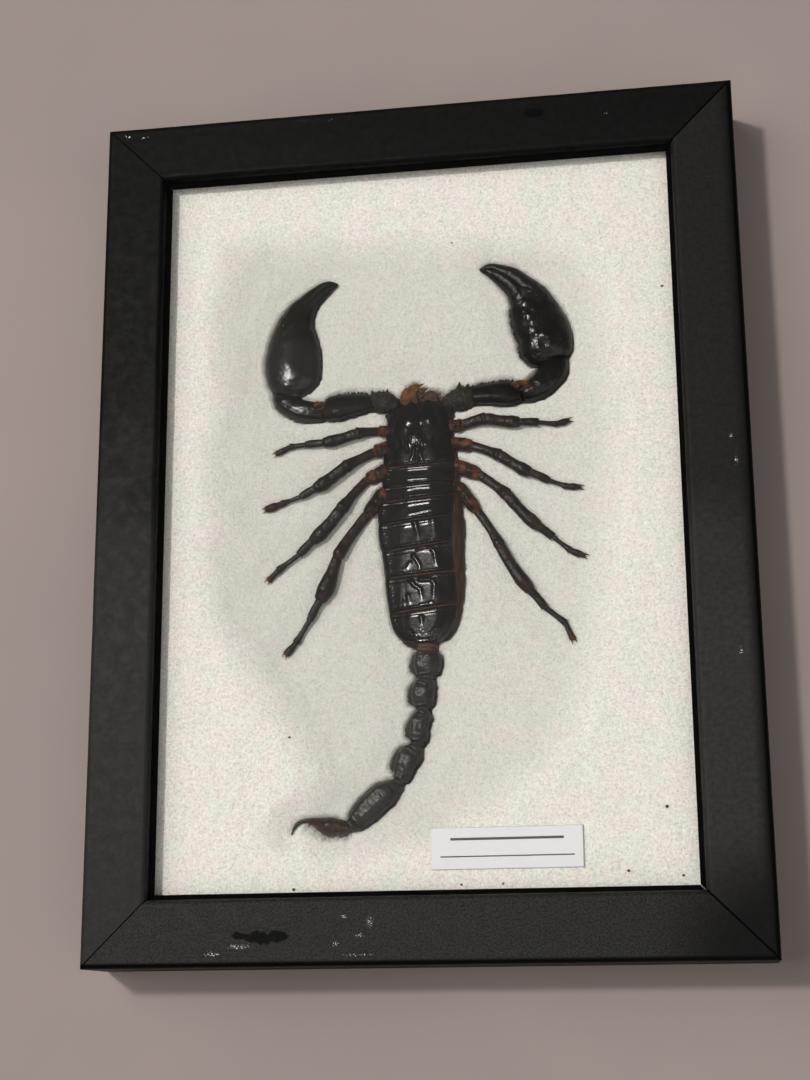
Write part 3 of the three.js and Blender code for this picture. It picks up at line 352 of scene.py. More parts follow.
# ---------------------------------------------------------------- materials
class Nodes:
    def __init__(self, name):
        self.mat = bpy.data.materials.new(name)
        self.mat.use_nodes = True
        self.nt = self.mat.node_tree
        self.p = next(n for n in self.nt.nodes if n.type == "BSDF_PRINCIPLED")
        self.out = next(n for n in self.nt.nodes if n.type == "OUTPUT_MATERIAL")
        self._pos = None

    def node(self, kind, **props):
        n = self.nt.nodes.new(kind)
        for k, v in props.items():
            setattr(n, k, v)
        return n

    def put(self, socket, value):
        if isinstance(value, bpy.types.NodeSocket):
            self.nt.links.new(value, socket)
        else:
            socket.default_value = value

    def pos(self):
        """Position in the row frame, in millimetres."""
        if self._pos is None:
            g = self.node("ShaderNodeTexCoord")
            m = self.node("ShaderNodeVectorMath", operation="SCALE")
            self.put(m.inputs[0], g.outputs["Object"])
            m.inputs["Scale"].default_value = 1000.0
            self._pos = m.outputs[0]
        return self._pos

    def scaled(self, xyz, vec=None):
        m = self.node("ShaderNodeVectorMath", operation="MULTIPLY")
        self.put(m.inputs[0], vec or self.pos())
        m.inputs[1].default_value = xyz
        return m.outputs[0]

    def noise(self, scale, detail=4.0, rough=0.55, vec=None, distortion=0.0):
        n = self.node("ShaderNodeTexNoise")
        self.put(n.inputs["Vector"], vec or self.pos())
        n.inputs["Scale"].default_value = scale
        n.inputs["Detail"].default_value = detail
        n.inputs["Roughness"].default_value = rough
        n.inputs["Distortion"].default_value = distortion
        return n.outputs["Fac"]

    def voronoi(self, scale, vec=None, feature="F1", out="Distance"):
        n = self.node("ShaderNodeTexVoronoi", feature=feature)
        self.put(n.inputs["Vector"], vec or self.pos())
        n.inputs["Scale"].default_value = scale
        return n.outputs[out]

    def ramp(self, fac, stops, interp="LINEAR"):
        n = self.node("ShaderNodeValToRGB")
        n.color_ramp.interpolation = interp
        e = n.color_ramp.elements
        while len(e) < len(stops):
            e.new(0.5)
        for x, (at, col) in zip(e, stops):
            x.position = at
            x.color = (*col, 1.0) if len(col) == 3 else col
        self.put(n.inputs["Fac"], fac)
        return n.outputs["Color"]

    def span(self, fac, a, b, lo=0.0, hi=1.0):
        n = self.node("ShaderNodeMapRange", interpolation_type="SMOOTHSTEP")
        self.put(n.inputs["Value"], fac)
        for k, v in zip(("From Min", "From Max", "To Min", "To Max"), (a, b, lo, hi)):
            n.inputs[k].default_value = v
        return n.outputs["Result"]

    def math(self, op, a, b=0.0, clamp=False):
        n = self.node("ShaderNodeMath", operation=op, use_clamp=clamp)
        self.put(n.inputs[0], a)
        self.put(n.inputs[1], b)
        return n.outputs[0]

    def mix(self, fac, a, b, mode="MIX"):
        n = self.node("ShaderNodeMix", data_type="RGBA", blend_type=mode)
        self.put(n.inputs["Factor"], fac)
        col = [s for s in n.inputs if s.type == "RGBA"]
        for s, v in zip(col, (a, b)):
            self.put(s, v if isinstance(v, bpy.types.NodeSocket) else (*v, 1.0))
        return [s for s in n.outputs if s.type == "RGBA"][0]

    def mix_value(self, fac, a, b):
        n = self.node("ShaderNodeMix", data_type="FLOAT")
        for k, x in zip((0, 2, 3), (fac, a, b)):
            self.put(n.inputs[k], x)
        return n.outputs[0]

    def attr(self, name="tone"):
        n = self.node("ShaderNodeAttribute", attribute_name=name)
        return n.outputs["Fac"]

    def bump(self, height, strength, dist_mm, below=None):
        n = self.node("ShaderNodeBump")
        n.inputs["Strength"].default_value = strength
        n.inputs["Distance"].default_value = dist_mm * MM
        self.put(n.inputs["Height"], height)
        if below is not None:
            self.put(n.inputs["Normal"], below)
        return n.outputs["Normal"]

    def dist_to(self, pts, warp=None):
        """Least (distance to point / its radius) over pts [(x, y, z, r, stretch_x)]."""
        vec = self.pos()
        if warp is not None:
            w = self.node("ShaderNodeVectorMath", operation="ADD")
            self.put(w.inputs[0], vec)
            self.put(w.inputs[1], warp)
            vec = w.outputs[0]
        best = None
        for x, y, z, rx, ry in pts:
            s = self.node("ShaderNodeVectorMath", operation="SUBTRACT")
            self.put(s.inputs[0], vec)
            s.inputs[1].default_value = (x, y, z)
            m = self.node("ShaderNodeVectorMath", operation="MULTIPLY")
            self.put(m.inputs[0], s.outputs[0])
            m.inputs[1].default_value = (1 / rx, 1 / ry, 0.25)
            l = self.node("ShaderNodeVectorMath", operation="LENGTH")
            self.put(l.inputs[0], m.outputs[0])
            best = l.outputs["Value"] if best is None else self.math("MINIMUM", best, l.outputs["Value"])
        return best

    def warp(self, scale, amount):
        n = self.node("ShaderNodeTexNoise")
        self.put(n.inputs["Vector"], self.pos())
        n.inputs["Scale"].default_value = scale
        n.inputs["Detail"].default_value = 3.0
        s = self.node("ShaderNodeVectorMath", operation="SUBTRACT")
        self.put(s.inputs[0], n.outputs["Color"])
        s.inputs[1].default_value = (0.5, 0.5, 0.5)
        m = self.node("ShaderNodeVectorMath", operation="SCALE")
        self.put(m.inputs[0], s.outputs[0])
        m.inputs["Scale"].default_value = amount
        return m.outputs[0]

    def set(self, **kw):
        names = {"color": "Base Color", "rough": "Roughness", "metal": "Metallic", "spec": "Specular IOR Level", "coat": "Coat Weight", "coat_rough": "Coat Roughness", "normal": "Normal", "sheen": "Sheen Weight", "sheen_rough": "Sheen Roughness", "trans": "Transmission Weight", "ior": "IOR", "sub": "Subsurface Weight", "sub_scale": "Subsurface Scale", "sub_rad": "Subsurface Radius"}
        for k, v in kw.items():
            s = self.p.inputs[names[k]]
            if k == "color" and isinstance(v, tuple) and len(v) == 3:
                v = (*v, 1.0)
            self.put(s, v)
        return self


def mat_cuticle(name, dark, brown, red, rough=(0.2, 0.32), grain=0.14, dust=0.0, tint=(0.11, 0.1, 0.09), spec=0.5, dull=None):
    m = Nodes(name)
    tone = m.attr("tone")
    big = m.noise(0.32, 4, 0.6)
    fine = m.noise(3.2, 4, 0.6)
    base = m.mix(m.span(big, 0.36, 0.68), dark, brown)
    base = m.mix(m.span(fine, 0.55, 0.8, 0.0, 0.5), base, tuple(0.55 * c for c in dark))
    shift = m.math("ADD", tone, m.math("MULTIPLY", m.math("SUBTRACT", fine, 0.5), 0.3))
    base = m.mix(m.span(shift, 0.16, 0.95), base, red)
    if dust:
        base = m.mix(m.span(m.noise(1.4, 5, 0.65), 0.48, 0.78, 0.0, dust), base, tint)
    h = m.math("ADD", m.noise(1.2, 4, 0.55), m.math("MULTIPLY", m.voronoi(2.6), 0.3))
    nrm = m.bump(h, grain, 0.22)
    nrm = m.bump(m.noise(11.0, 3, 0.6), 0.06, 0.05, nrm)
    r = m.math("ADD", m.span(m.noise(0.8, 5, 0.65), 0.3, 0.72, rough[0], rough[1]), m.math("MULTIPLY", tone, 0.16))
    if dull:
        # duller towards the finger tips
        sep = m.node("ShaderNodeSeparateXYZ")
        m.put(sep.inputs[0], m.pos())
        r = m.math("ADD", r, m.span(sep.outputs["Y"], dull[0], dull[1], 0.0, dull[2]))
    m.set(color=base, rough=r, spec=spec, normal=nrm)
    return m.mat


M = {}
M["cuticle"] = mat_cuticle("cuticle_dark", (0.0048, 0.0046, 0.0046), (0.0085, 0.0072, 0.0066), (0.125, 0.038, 0.012), rough=(0.18, 0.26), grain=0.2, spec=0.26)
M["femur"] = mat_cuticle("cuticle_femur", (0.0052, 0.0054, 0.0050), (0.0095, 0.0088, 0.0078), (0.06, 0.028, 0.017), rough=(0.26, 0.36), grain=0.3, spec=0.12)
# painted sheen: the left hand's cuticle is a lighter, greyer copy of the right hand's
M["hand_left"] = mat_cuticle("cuticle_hand_left_painted_sheen", (0.0122, 0.0124, 0.0106), (0.0168, 0.0164, 0.0141), (0.05, 0.025, 0.016), rough=(0.17, 0.22), grain=0.12, spec=0.22)
M["hand_right"] = mat_cuticle("cuticle_hand_right", (0.0058, 0.0056, 0.0054), (0.0105, 0.0093, 0.0086), (0.05, 0.022, 0.014), rough=(0.17, 0.23), grain=0.2, spec=0.30, dull=(50.0, 54.5, 0.17))
M["plates"] = mat_cuticle("cuticle_plates", (0.0046, 0.0046, 0.0045), (0.0105, 0.0082, 0.0072), (0.075, 0.034, 0.02), rough=(0.17, 0.21), grain=0.05, spec=0.30)
M["carapace"] = mat_cuticle("cuticle_carapace", (0.0042, 0.0042, 0.0042), (0.0078, 0.0072, 0.0066), (0.05, 0.024, 0.015), rough=(0.15, 0.19), grain=0.05, spec=0.19)
M["limb"] = mat_cuticle("cuticle_limb", (0.0078, 0.0056, 0.0045), (0.0225, 0.0120, 0.0078), (0.118, 0.039, 0.019), rough=(0.26, 0.38), grain=0.33, dust=0.13, tint=(0.072, 0.040, 0.024), spec=0.155)
M["trochanter"] = mat_cuticle("cuticle_trochanter", (0.0105, 0.0092, 0.0078), (0.024, 0.0190, 0.0148), (0.080, 0.036, 0.021), rough=(0.40, 0.55), grain=0.5, dust=0.35, tint=(0.085, 0.072, 0.056), spec=0.16)
M["tail"] = mat_cuticle("cuticle_tail", (0.0128, 0.0111, 0.0106), (0.0300, 0.0240, 0.0220), (0.110, 0.048, 0.030), rough=(0.26, 0.38), grain=0.32, dust=0.32, tint=(0.080, 0.069, 0.064), spec=0.25)
M["telson"] = mat_cuticle("cuticle_telson", (0.0150, 0.0088, 0.0074), (0.0400, 0.0200, 0.0155), (0.140, 0.052, 0.036), rough=(0.20, 0.30), grain=0.3, spec=0.3)
M["chelicera"] = mat_cuticle("cuticle_chelicera", (0.080, 0.032, 0.0115), (0.165, 0.070, 0.025), (0.048, 0.034, 0.026), rough=(0.40, 0.55), grain=0.6, dust=0.2, tint=(0.23, 0.12, 0.055), spec=0.2)


def mat_membrane():
    m = Nodes("side_membrane")
    streak = m.noise(0.55, 5, 0.62, m.scaled((3.2, 0.5, 3.2)))
    tone = m.attr("tone")
    base = m.ramp(streak, [(0.30, (0.012, 0.0062, 0.0046)), (0.5, (0.034, 0.0145, 0.0088)), (0.70, (0.066, 0.029, 0.0175))])
    base = m.mix(m.span(tone, 0.2, 0.85), base, (0.0075, 0.0058, 0.0052))
    fold = m.noise(0.9, 5, 0.6, m.scaled((3.0, 0.7, 3.0)))
    nrm = m.bump(fold, 0.7, 0.4)
    nrm = m.bump(m.noise(6, 4, 0.6), 0.15, 0.08, nrm)
    m.set(color=base, rough=m.span(m.noise(1.1, 4), 0.3, 0.7, 0.36, 0.55), spec=0.2, normal=nrm)
    return m.mat


M["membrane"] = mat_membrane()


def mat_batting():
    m = Nodes("batting_fluff")
    grain = m.noise(1.5, 5, 0.72)
    glint_painted_and_glossy = m.noise(3.4, 3, 0.6)
    tint = m.noise(0.16, 4, 0.6)
    base = m.mix(m.span(tint, 0.36, 0.64), (0.86, 0.80, 0.745), (0.775, 0.822, 0.732))
    base = m.mix(m.span(m.noise(0.11, 3, 0.5, m.scaled((1.0, 1.0, 1.0)), 0.4), 0.50, 0.70, 0.0, 0.7), base, (0.87, 0.785, 0.765))
    base = m.mix(m.span(grain, 0.52, 0.30, 0.0, 0.8), base, (0.55, 0.535, 0.49))
    base = m.mix(m.span(grain, 0.50, 0.66, 0.0, 0.95), base, (0.98, 0.965, 0.92))
    # painted glints: the base colour goes white at the same spots where the roughness drops
    base = m.mix(m.span(glint_painted_and_glossy, 0.54, 0.62, 0.0, 1.0), base, (1.0, 1.0, 0.985))
    # painted shade: where the tone attribute is high (the nest the specimen lies in) the colour goes grey; the pad's
    # sides take tone 0.5
    base = m.mix(m.attr("tone"), base, (0.505, 0.51, 0.458))
    specks = m.dist_to(SPECKS, m.warp(1.1, 0.5))
    base = m.mix(m.span(specks, 1.25, 0.7), base, (0.035, 0.028, 0.024))
    rough = m.span(glint_painted_and_glossy, 0.58, 0.70, 0.92, 0.35)
    nrm = m.bump(grain, 0.9, 0.45)
    nrm = m.bump(glint_painted_and_glossy, 0.7, 0.2, nrm)
    m.set(color=base, rough=rough, spec=0.5, normal=nrm)
    m.set(sheen=0.1, sheen_rough=0.5)
    return m.mat


SPECKS = []


def mat_fibre():
    m = Nodes("batting_strand")
    m.set(color=m.ramp(m.noise(0.5, 3), [(0.3, (0.80, 0.785, 0.735)), (0.7, (0.90, 0.885, 0.845))]), rough=m.span(m.noise(1.7, 2), 0.35, 0.65, 0.28, 0.6), spec=0.55)
    return m.mat


def mat_frame():
    m = Nodes("satin_black")
    grain = m.noise(1.15, 6, 0.7)
    peel = m.noise(3.4, 4, 0.6)
    tone = m.attr("tone")
    lip_painted_shade = m.span(tone, 0.88, 0.96)
    base = m.mix(m.span(m.noise(0.5, 5, 0.6), 0.36, 0.68), (0.0028, 0.0028, 0.0029), (0.0046, 0.0046, 0.0046))
    base = m.mix(m.span(grain, 0.52, 0.72, 0.0, 0.55), base, (0.0075, 0.0075, 0.0072))
    # a film of dust on the lower half, also painted sheen: the rails are coloured lighter towards the bottom
    sep = m.node("ShaderNodeSeparateXYZ")
    m.put(sep.inputs[0], m.pos())
    dust_and_painted_sheen = m.span(m.math("ADD", sep.outputs["Y"], m.math("MULTIPLY", m.math("SUBTRACT", m.noise(0.06, 3), 0.5), 60.0)), 40.0, -35.0)
    # the dust and painted sheen are crackled on the bottom rail, smooth on the others, none in the far corner
    px, py = sep.outputs["X"], sep.outputs["Y"]
    inset = m.math("SUBTRACT", FRAME_W / 2, m.math("ABSOLUTE", px))
    under = m.span(m.math("SUBTRACT", inset, m.math("ADD", py, FRAME_H / 2)), -0.1, 0.1)
    over = m.span(m.math("SUBTRACT", inset, m.math("SUBTRACT", FRAME_H / 2, py)), -0.1, 0.1)
    right = m.math("MULTIPLY", m.span(px, 58.0, 60.0), m.math("SUBTRACT", 1.0, m.math("MAXIMUM", under, over)))
    crack = m.span(m.noise(2.3, 5, 0.74), 0.40, 0.60, 0.20, 0.72)
    even = m.mix_value(right, m.span(grain, 0.3, 0.66, 0.42, 0.56), m.span(m.noise(0.9, 4, 0.6), 0.3, 0.7, 0.48, 0.76))
    dust_and_painted_sheen = m.math("MULTIPLY", m.math("MAXIMUM", dust_and_painted_sheen, m.math("MULTIPLY", right, 0.42)), m.mix_value(under, even, crack))
    dust_and_painted_sheen = m.math("MULTIPLY", dust_and_painted_sheen, m.mix_value(right, 1.0, m.span(px, 75.4, 72.4)))
    dust_and_painted_sheen = m.math("MULTIPLY", dust_and_painted_sheen, m.span(m.dist_to([(75.0, -100.5, 20, 1.0, 1.0)]), 8.0, 30.0, 0.02, 1.0))
    # dust together with painted sheen: a lighter grey mixed into the black
    base = m.mix(dust_and_painted_sheen, base, (0.041, 0.041, 0.040))
    # painted shade: the outer right and bottom edges and sides go near-black
    rim = m.math("MAXIMUM", m.span(px, 74.6, 75.6), m.span(py, -100.1, -100.9))
    base = m.mix(rim, base, (0.0008, 0.0008, 0.0008))
    smudge = m.span(m.dist_to(SMUDGE, m.warp(0.5, 2.4)), 1.1, 0.7)
    base = m.mix(m.math("MULTIPLY", smudge, 0.8), base, (0.0022, 0.0021, 0.0023))
    # fine handling scratches, short and nearly level
    sc = m.noise(0.8, 2, 0.4, m.scaled((0.12, 2.6, 0.5)))
    sm = m.math("MULTIPLY", m.span(sc, 0.72, 0.74), m.span(m.noise(0.06, 2), 0.54, 0.64))
    base = m.mix(m.math("MULTIPLY", sm, 0.3), base, (0.035, 0.035, 0.034))
    wear = m.math("ADD", tone, m.math("MULTIPLY", m.math("SUBTRACT", m.noise(1.1, 5, 0.7), 0.5), 1.5))
    wear = m.math("MULTIPLY", m.span(wear, 0.86, 1.1, 0.0, 0.45), m.span(tone, 0.84, 0.78))
    base = m.mix(wear, base, (0.030, 0.029, 0.027))
    near = m.span(m.dist_to(CHIPS, m.warp(0.9, 0.8)), 1.7, 0.3)
    on = m.math("MULTIPLY", m.span(m.math("ADD", m.noise(3.6, 2, 0.5), m.math("MULTIPLY", near, 0.16)), 0.715, 0.745), m.span(near, 0.02, 0.2))
    base = m.mix(on, base, m.ramp(m.noise(2.2, 3), [(0.35, (0.38, 0.37, 0.34)), (0.6, (0.92, 0.90, 0.86))]))
    # painted shade: tone near 1 (the rebate lip and the mitre ends) turns the colour near-black
    base = m.mix(lip_painted_shade, base, (0.0010, 0.0010, 0.0010))
    rough = m.math("ADD", m.span(m.noise(0.35, 5, 0.65), 0.3, 0.7, 0.42, 0.55), m.math("MULTIPLY", m.math("MAXIMUM", m.math("MAXIMUM", on, lip_painted_shade), smudge), 0.3))
    h = m.math("ADD", m.math("MULTIPLY", grain, 0.8), m.math("MULTIPLY", peel, 0.5))
    nrm = m.bump(h, 0.3, 0.16)
    nrm = m.bump(on, 0.4, 0.08, nrm)
    m.set(color=base, rough=rough, spec=0.085, normal=nrm)
    return m.mat


CHIPS, SMUDGE = [], []


def mat_glass():
    m = Nodes("clear_glass")
    m.set(color=(1.0, 1.0, 1.0), trans=1.0, ior=1.5, rough=0.0)
    return m.mat


def mat_card():
    m = Nodes("caption_paper")
    pulp = m.noise(2.4, 6, 0.7)
    base = m.mix(m.span(pulp, 0.35, 0.7), (0.675, 0.68, 0.705), (0.71, 0.716, 0.74))
    base = m.mix(m.span(m.noise(0.12, 3), 0.4, 0.7, 0.0, 0.35), base, (0.66, 0.665, 0.695))
    m.set(color=base, rough=m.span(pulp, 0.3, 0.7, 0.42, 0.55), spec=0.4, normal=m.bump(pulp, 0.15, 0.05))
    return m.mat


def mat_ink():
    m = Nodes("printed_rule")
    m.set(color=m.ramp(m.noise(6, 3), [(0.3, (0.05, 0.05, 0.055)), (0.7, (0.1, 0.1, 0.105))]), rough=0.6, spec=0.3)
    return m.mat


def mat_board():
    m = Nodes("hardboard")
    weave = m.noise(1.4, 6, 0.75)
    base = m.ramp(weave, [(0.28, (0.11, 0.062, 0.032)), (0.55, (0.19, 0.115, 0.064)), (0.78, (0.27, 0.175, 0.105))])
    base = m.mix(m.span(m.noise(0.05, 4), 0.42, 0.7, 0.0, 0.4), base, (0.13, 0.075, 0.04))
    base = m.mix(m.span(m.voronoi(0.9), 0.06, 0.02, 0.0, 0.5), base, (0.05, 0.028, 0.015))
    m.set(color=base, rough=m.span(weave, 0.3, 0.7, 0.62, 0.8), spec=0.35, normal=m.bump(weave, 0.5, 0.2))
    return m.mat


def mat_steel():
    m = Nodes("zinc_steel")
    brush = m.noise(1.2, 5, 0.6, m.scaled((0.6, 6.0, 2.0)))
    base = m.ramp(brush, [(0.3, (0.42, 0.41, 0.38)), (0.7, (0.62, 0.61, 0.57))])
    base = m.mix(m.span(m.noise(0.9, 5, 0.7), 0.6, 0.78, 0.0, 0.6), base, (0.2, 0.13, 0.075))
    m.set(color=base, metal=0.9, rough=m.span(brush, 0.3, 0.7, 0.28, 0.46), normal=m.bump(brush, 0.15, 0.05))
    return m.mat


# ---------------------------------------------------------------- scorpion
ALL = []          # every scorpion vertex, for the nest pressed into the batting
ZT = 10.9         # height of the widest part of the trunk


def done(geo, node, mat, slot):
    ALL.append(np.concatenate(geo.v))
    return geo.obj(node + "_form", M[mat], slot, (node,))


def near_line(x, y, pts, along=False):
    """Distance in plan to a broken line, and how far along it the nearest point is."""
    best, frac, run = np.full(np.shape(x), 1e9), np.zeros(np.shape(x)), 0.0
    total = sum(math.dist(a, b) for a, b in zip(pts[:-1], pts[1:]))
    for (ax, ay), (bx, by) in zip(pts[:-1], pts[1:]):
        dx, dy = bx - ax, by - ay
        t = np.clip(((x - ax) * dx + (y - ay) * dy) / (dx * dx + dy * dy), 0, 1)
        d = np.hypot(x - ax - t * dx, y - ay - t * dy)
        frac = np.where(d < best, (run + t * math.hypot(dx, dy)) / total, frac)
        best = np.minimum(best, d)
        run += math.hypot(dx, dy)
    return (best, frac) if along else best


def trunk_at(y):
    o = np.argsort(TRUNK[:, 0])
    T = TRUNK[o]
    return hermite(T[:, 0], np.clip(np.asarray(y, float).ravel(), T[0, 0], T[-1, 0]), T[:, 1:]).reshape(*np.shape(y), 2)


def trunk_b(y):
    return 2.2 - 0.50 * smooth(-28.0, -30.6, y) - 0.5 * smooth(23.0, 28.3, y)


def roll(x, y):
    """The body lies turned a few degrees, its right flank up and its head a little down."""
    c = trunk_at(y)
    u = np.clip(np.abs((x - c[..., 0]) / c[..., 1]), 0, 1)
    return 0.105 * (x - c[..., 0]) * (1 - u**3) - 0.05 * np.clip(y - 12.4, 0, None)


def trunk_z(x, y):
    c = trunk_at(y)
    u = np.clip(np.abs((x - c[..., 0]) / c[..., 1]), 0, 0.999)
    return ZT + trunk_b(y) * (1 - u**2.4) ** (1 / 2.4) + roll(x, y)


def lid(geo, V, tone, drop=0.45):
    """Closed plate from a top grid V (rows, cols, 3): the rim turns down and a floor closes it."""
    r, c = V.shape[:2]
    first = geo.grid(V, tone)
    idx = np.arange(r * c).reshape(r, c)
    rim = np.concatenate([idx[0, :], idx[1:, -1], idx[-1, -2::-1], idx[-2:0, 0]])
    P = V.reshape(-1, 3)[rim]
    cen = P.mean(0)
    tr = np.asarray(tone).reshape(-1)[rim] if np.size(tone) > 1 else np.full(len(rim), float(tone))
    low = P + (cen - P) * 0.02 - [0, 0, drop]
    k = geo.points(low, tr)
    j = np.arange(len(rim))
    j2 = (j + 1) % len(rim)
    geo.q.append(np.stack([first + rim[j], k + j, k + j2, first + rim[j2]], -1))
    geo.fan(cen - [0, 0, drop + 1.0], k + j, float(tr.mean()))


# body below the plates: pleural membrane and the dark belly
BOUND = [(12.30, 0.0), (7.85, 0.02), (4.45, 0.035), (-0.68, 0.07), (-7.05, 0.09), (-13.85, 0.045), (-21.95, 0.09), (-30.1, 0.0)]
g = Geo()
st = [[c[1], c[0], ZT, c[2], float(trunk_b(c[0]))] for c in TRUNK]
st[0] = [-0.3, 27.5, ZT - 0.2, 4.6, 1.6]


def trunk_shape(P, th, t, N):
    y = P[..., 1]
    fold = 0.13 * fbm(P * [1.3, 0.3, 1.3], 4, 3) + 0.05 * fbm(P * [2.6, 0.9, 2.6], 3, 4)
    seg = np.zeros_like(y)
    for b, s in BOUND[1:7]:
        seg -= 0.20 * bell(y - b - s * P[..., 0], 0.6)
    side = np.clip(np.cos(th) ** 2, 0, 1)
    return fold * (0.35 + 0.65 * side) + seg * side


def trunk_tone(P, th, t):
    c = trunk_at(P[..., 1])
    u = (P[..., 0] - c[..., 0]) / c[..., 1]
    low = smooth(10.4, 9.0, P[..., 2])
    # painted shade: the left flank, turned down under the plates, is darkened to near-black
    left = smooth(-0.55, -0.9, u) * 0.85
    rim = 0.35 * smooth(0.93, 1.0, u)
    front = smooth(12.0, 20.0, P[..., 1]) * 0.8
    return np.clip(low + left + rim + front + 0.25 * fbm(P * [0.8, 0.25, 0.8], 3, 11), 0, 1)


tube(g, st, nu=90, nv=120, n=2.4, cap=(0.5, 0.35), shape=trunk_shape, tone=trunk_tone, warp=lambda P: P + np.stack([0 * P[..., 0], 0 * P[..., 0], roll(P[..., 0], P[..., 1]) * smooth(ZT - 1.5, ZT + 1.0, P[..., 2])], -1))
done(g, "trunk_underside", "membrane", "membrane")

# carapace
g = Geo()
nf, nvv = 128, 126
f = np.linspace(-1, 1, nf)[None, :]
v = np.linspace(0, 1, nvv)[:, None]
f = np.sign(f) * (1 - (1 - np.abs(f)) ** 1.2)
yf = 27.78 + 0.95 * bell(np.abs(f) - 0.43, 0.33) - 1.0 * bell(f, 0.12) - 1.5 * smooth(0.8, 1.0, np.abs(f))
y = yf + (12.42 - yf) * v + 0 * f
c = trunk_at(y)
xl, xr = c[..., 0] - 0.99 * c[..., 1], c[..., 0] + 0.94 * c[..., 1]
x = (xl + xr) / 2 + f * (xr - xl) / 2
z = trunk_z(np.clip(x, c[..., 0] - 0.985 * c[..., 1], c[..., 0] + 0.985 * c[..., 1]), y)
u = np.clip(np.abs((x - c[..., 0]) / c[..., 1]), 0, 1)
z = z + 0.06 * (x - c[..., 0]) * u**3 * smooth(0.95, 0.7, u)
z = z + 0.42 * (1 - np.abs(f) ** 8) * (1 - (1 - np.clip(v / 0.09, 0, 1)) ** 2) ** 0.5 * np.ones_like(x)
z = z - 0.25 * (1 - np.clip(v / 0.14, 0, 1)) ** 2
z -= 0.20 * bell(x + 0.45, 0.32) * smooth(22.2, 25.0, y)
for (px, py, pr, ph) in ((-2.75, 23.7, 0.85, 0.13), (2.4, 23.6, 0.85, 0.13), (-2.45, 17.6, 0.6, 0.10), (1.1, 17.7, 0.6, 0.10), (-3.0, 21.6, 0.6, 0.07), (-4.9, 19.5, 2.2, 0.10), (3.9, 19.5, 2.2, 0.10), (-4.2, 15.0, 1.6, 0.08), (3.0, 15.0, 1.6, 0.08)):
    z += ph * bell(np.hypot(x - px, (y - py) / 1.25), pr)
z += 0.26 * bell(np.hypot(x + 1.12, (y - 19.9) / 1.5), 1.05)
z -= 0.10 * bell(x + 1.12, 0.2) * bell(y - 20.0, 1.4)
for pts in ([(-1.15, 16.4), (-1.4, 14.6), (-2.2, 13.0)], [(-0.1, 16.6), (0.3, 14.5), (0.9, 12.9)]):
    d, q = near_line(x, y, pts, True)
    z += 0.25 * (1.15 - 1.05 * q) * bell(d, 0.34)
z -= 0.12 * bell(near_line(x, y, [(-0.55, 17.4), (-0.6, 12.6)]), 0.4)
for s, bx in ((-1, -1.12), (1, -1.12)):
    z -= 0.10 * bell(near_line(x, y, [(bx + s * 1.5, 22.0), (bx + s * 2.2, 19.5), (bx + s * 1.7, 16.0)]), 0.45)
    z -= 0.12 * bell(near_line(x, y, [(-0.6 + s * 4.4, 25.2), (-0.6 + s * 5.2, 21.5), (-0.6 + s * 4.2, 17.0)]), 0.6)
z -= 0.14 * bell(y - 12.95, 0.16)
z -= 0.30 * smooth(0.985, 1.0, v + 0 * x)
P = np.stack([x, y, z], -1)
side = smooth(0.55, 0.95, np.abs(f)) + 0 * x
gr = granules(P * [1, 1, 0.7], 0.5, 5, 0.55)
z = z + (0.004 + 0.045 * side + 0.04 * smooth(26.6, 28.3, y) + 0.075 * bell(np.hypot(x + 1.1, (y - 19.7) / 1.2), 1.5)) * gr
z = z + 0.008 * fbm(P * [0.6, 0.6, 0.6], 2, 9)
z = np.minimum(z, 14.15)
tone = 0.04 + 0.25 * smooth(12.9, 12.45, y) + 0.10 * smooth(27.9, 28.6, y)
lid(g, np.stack([x, y, z], -1), tone.ravel())
for s in (-1.78, -0.48):
    blob(g, (s, 20.15, 13.93), (0.36, 0.42, 0.24), 0.0, 18, 12)
for s in (-1, 1):
    for ex, ey in ((5.3, 27.0), (5.8, 26.5), (6.2, 25.9)):
        px = -0.3 + s * ex
        blob(g, (px, ey, float(trunk_z(np.array([px]), np.array([ey]))[0]) + 0.1), (0.22, 0.22, 0.18), 0.0, 10, 7)
done(g, "carapace", "carapace", "cuticle")

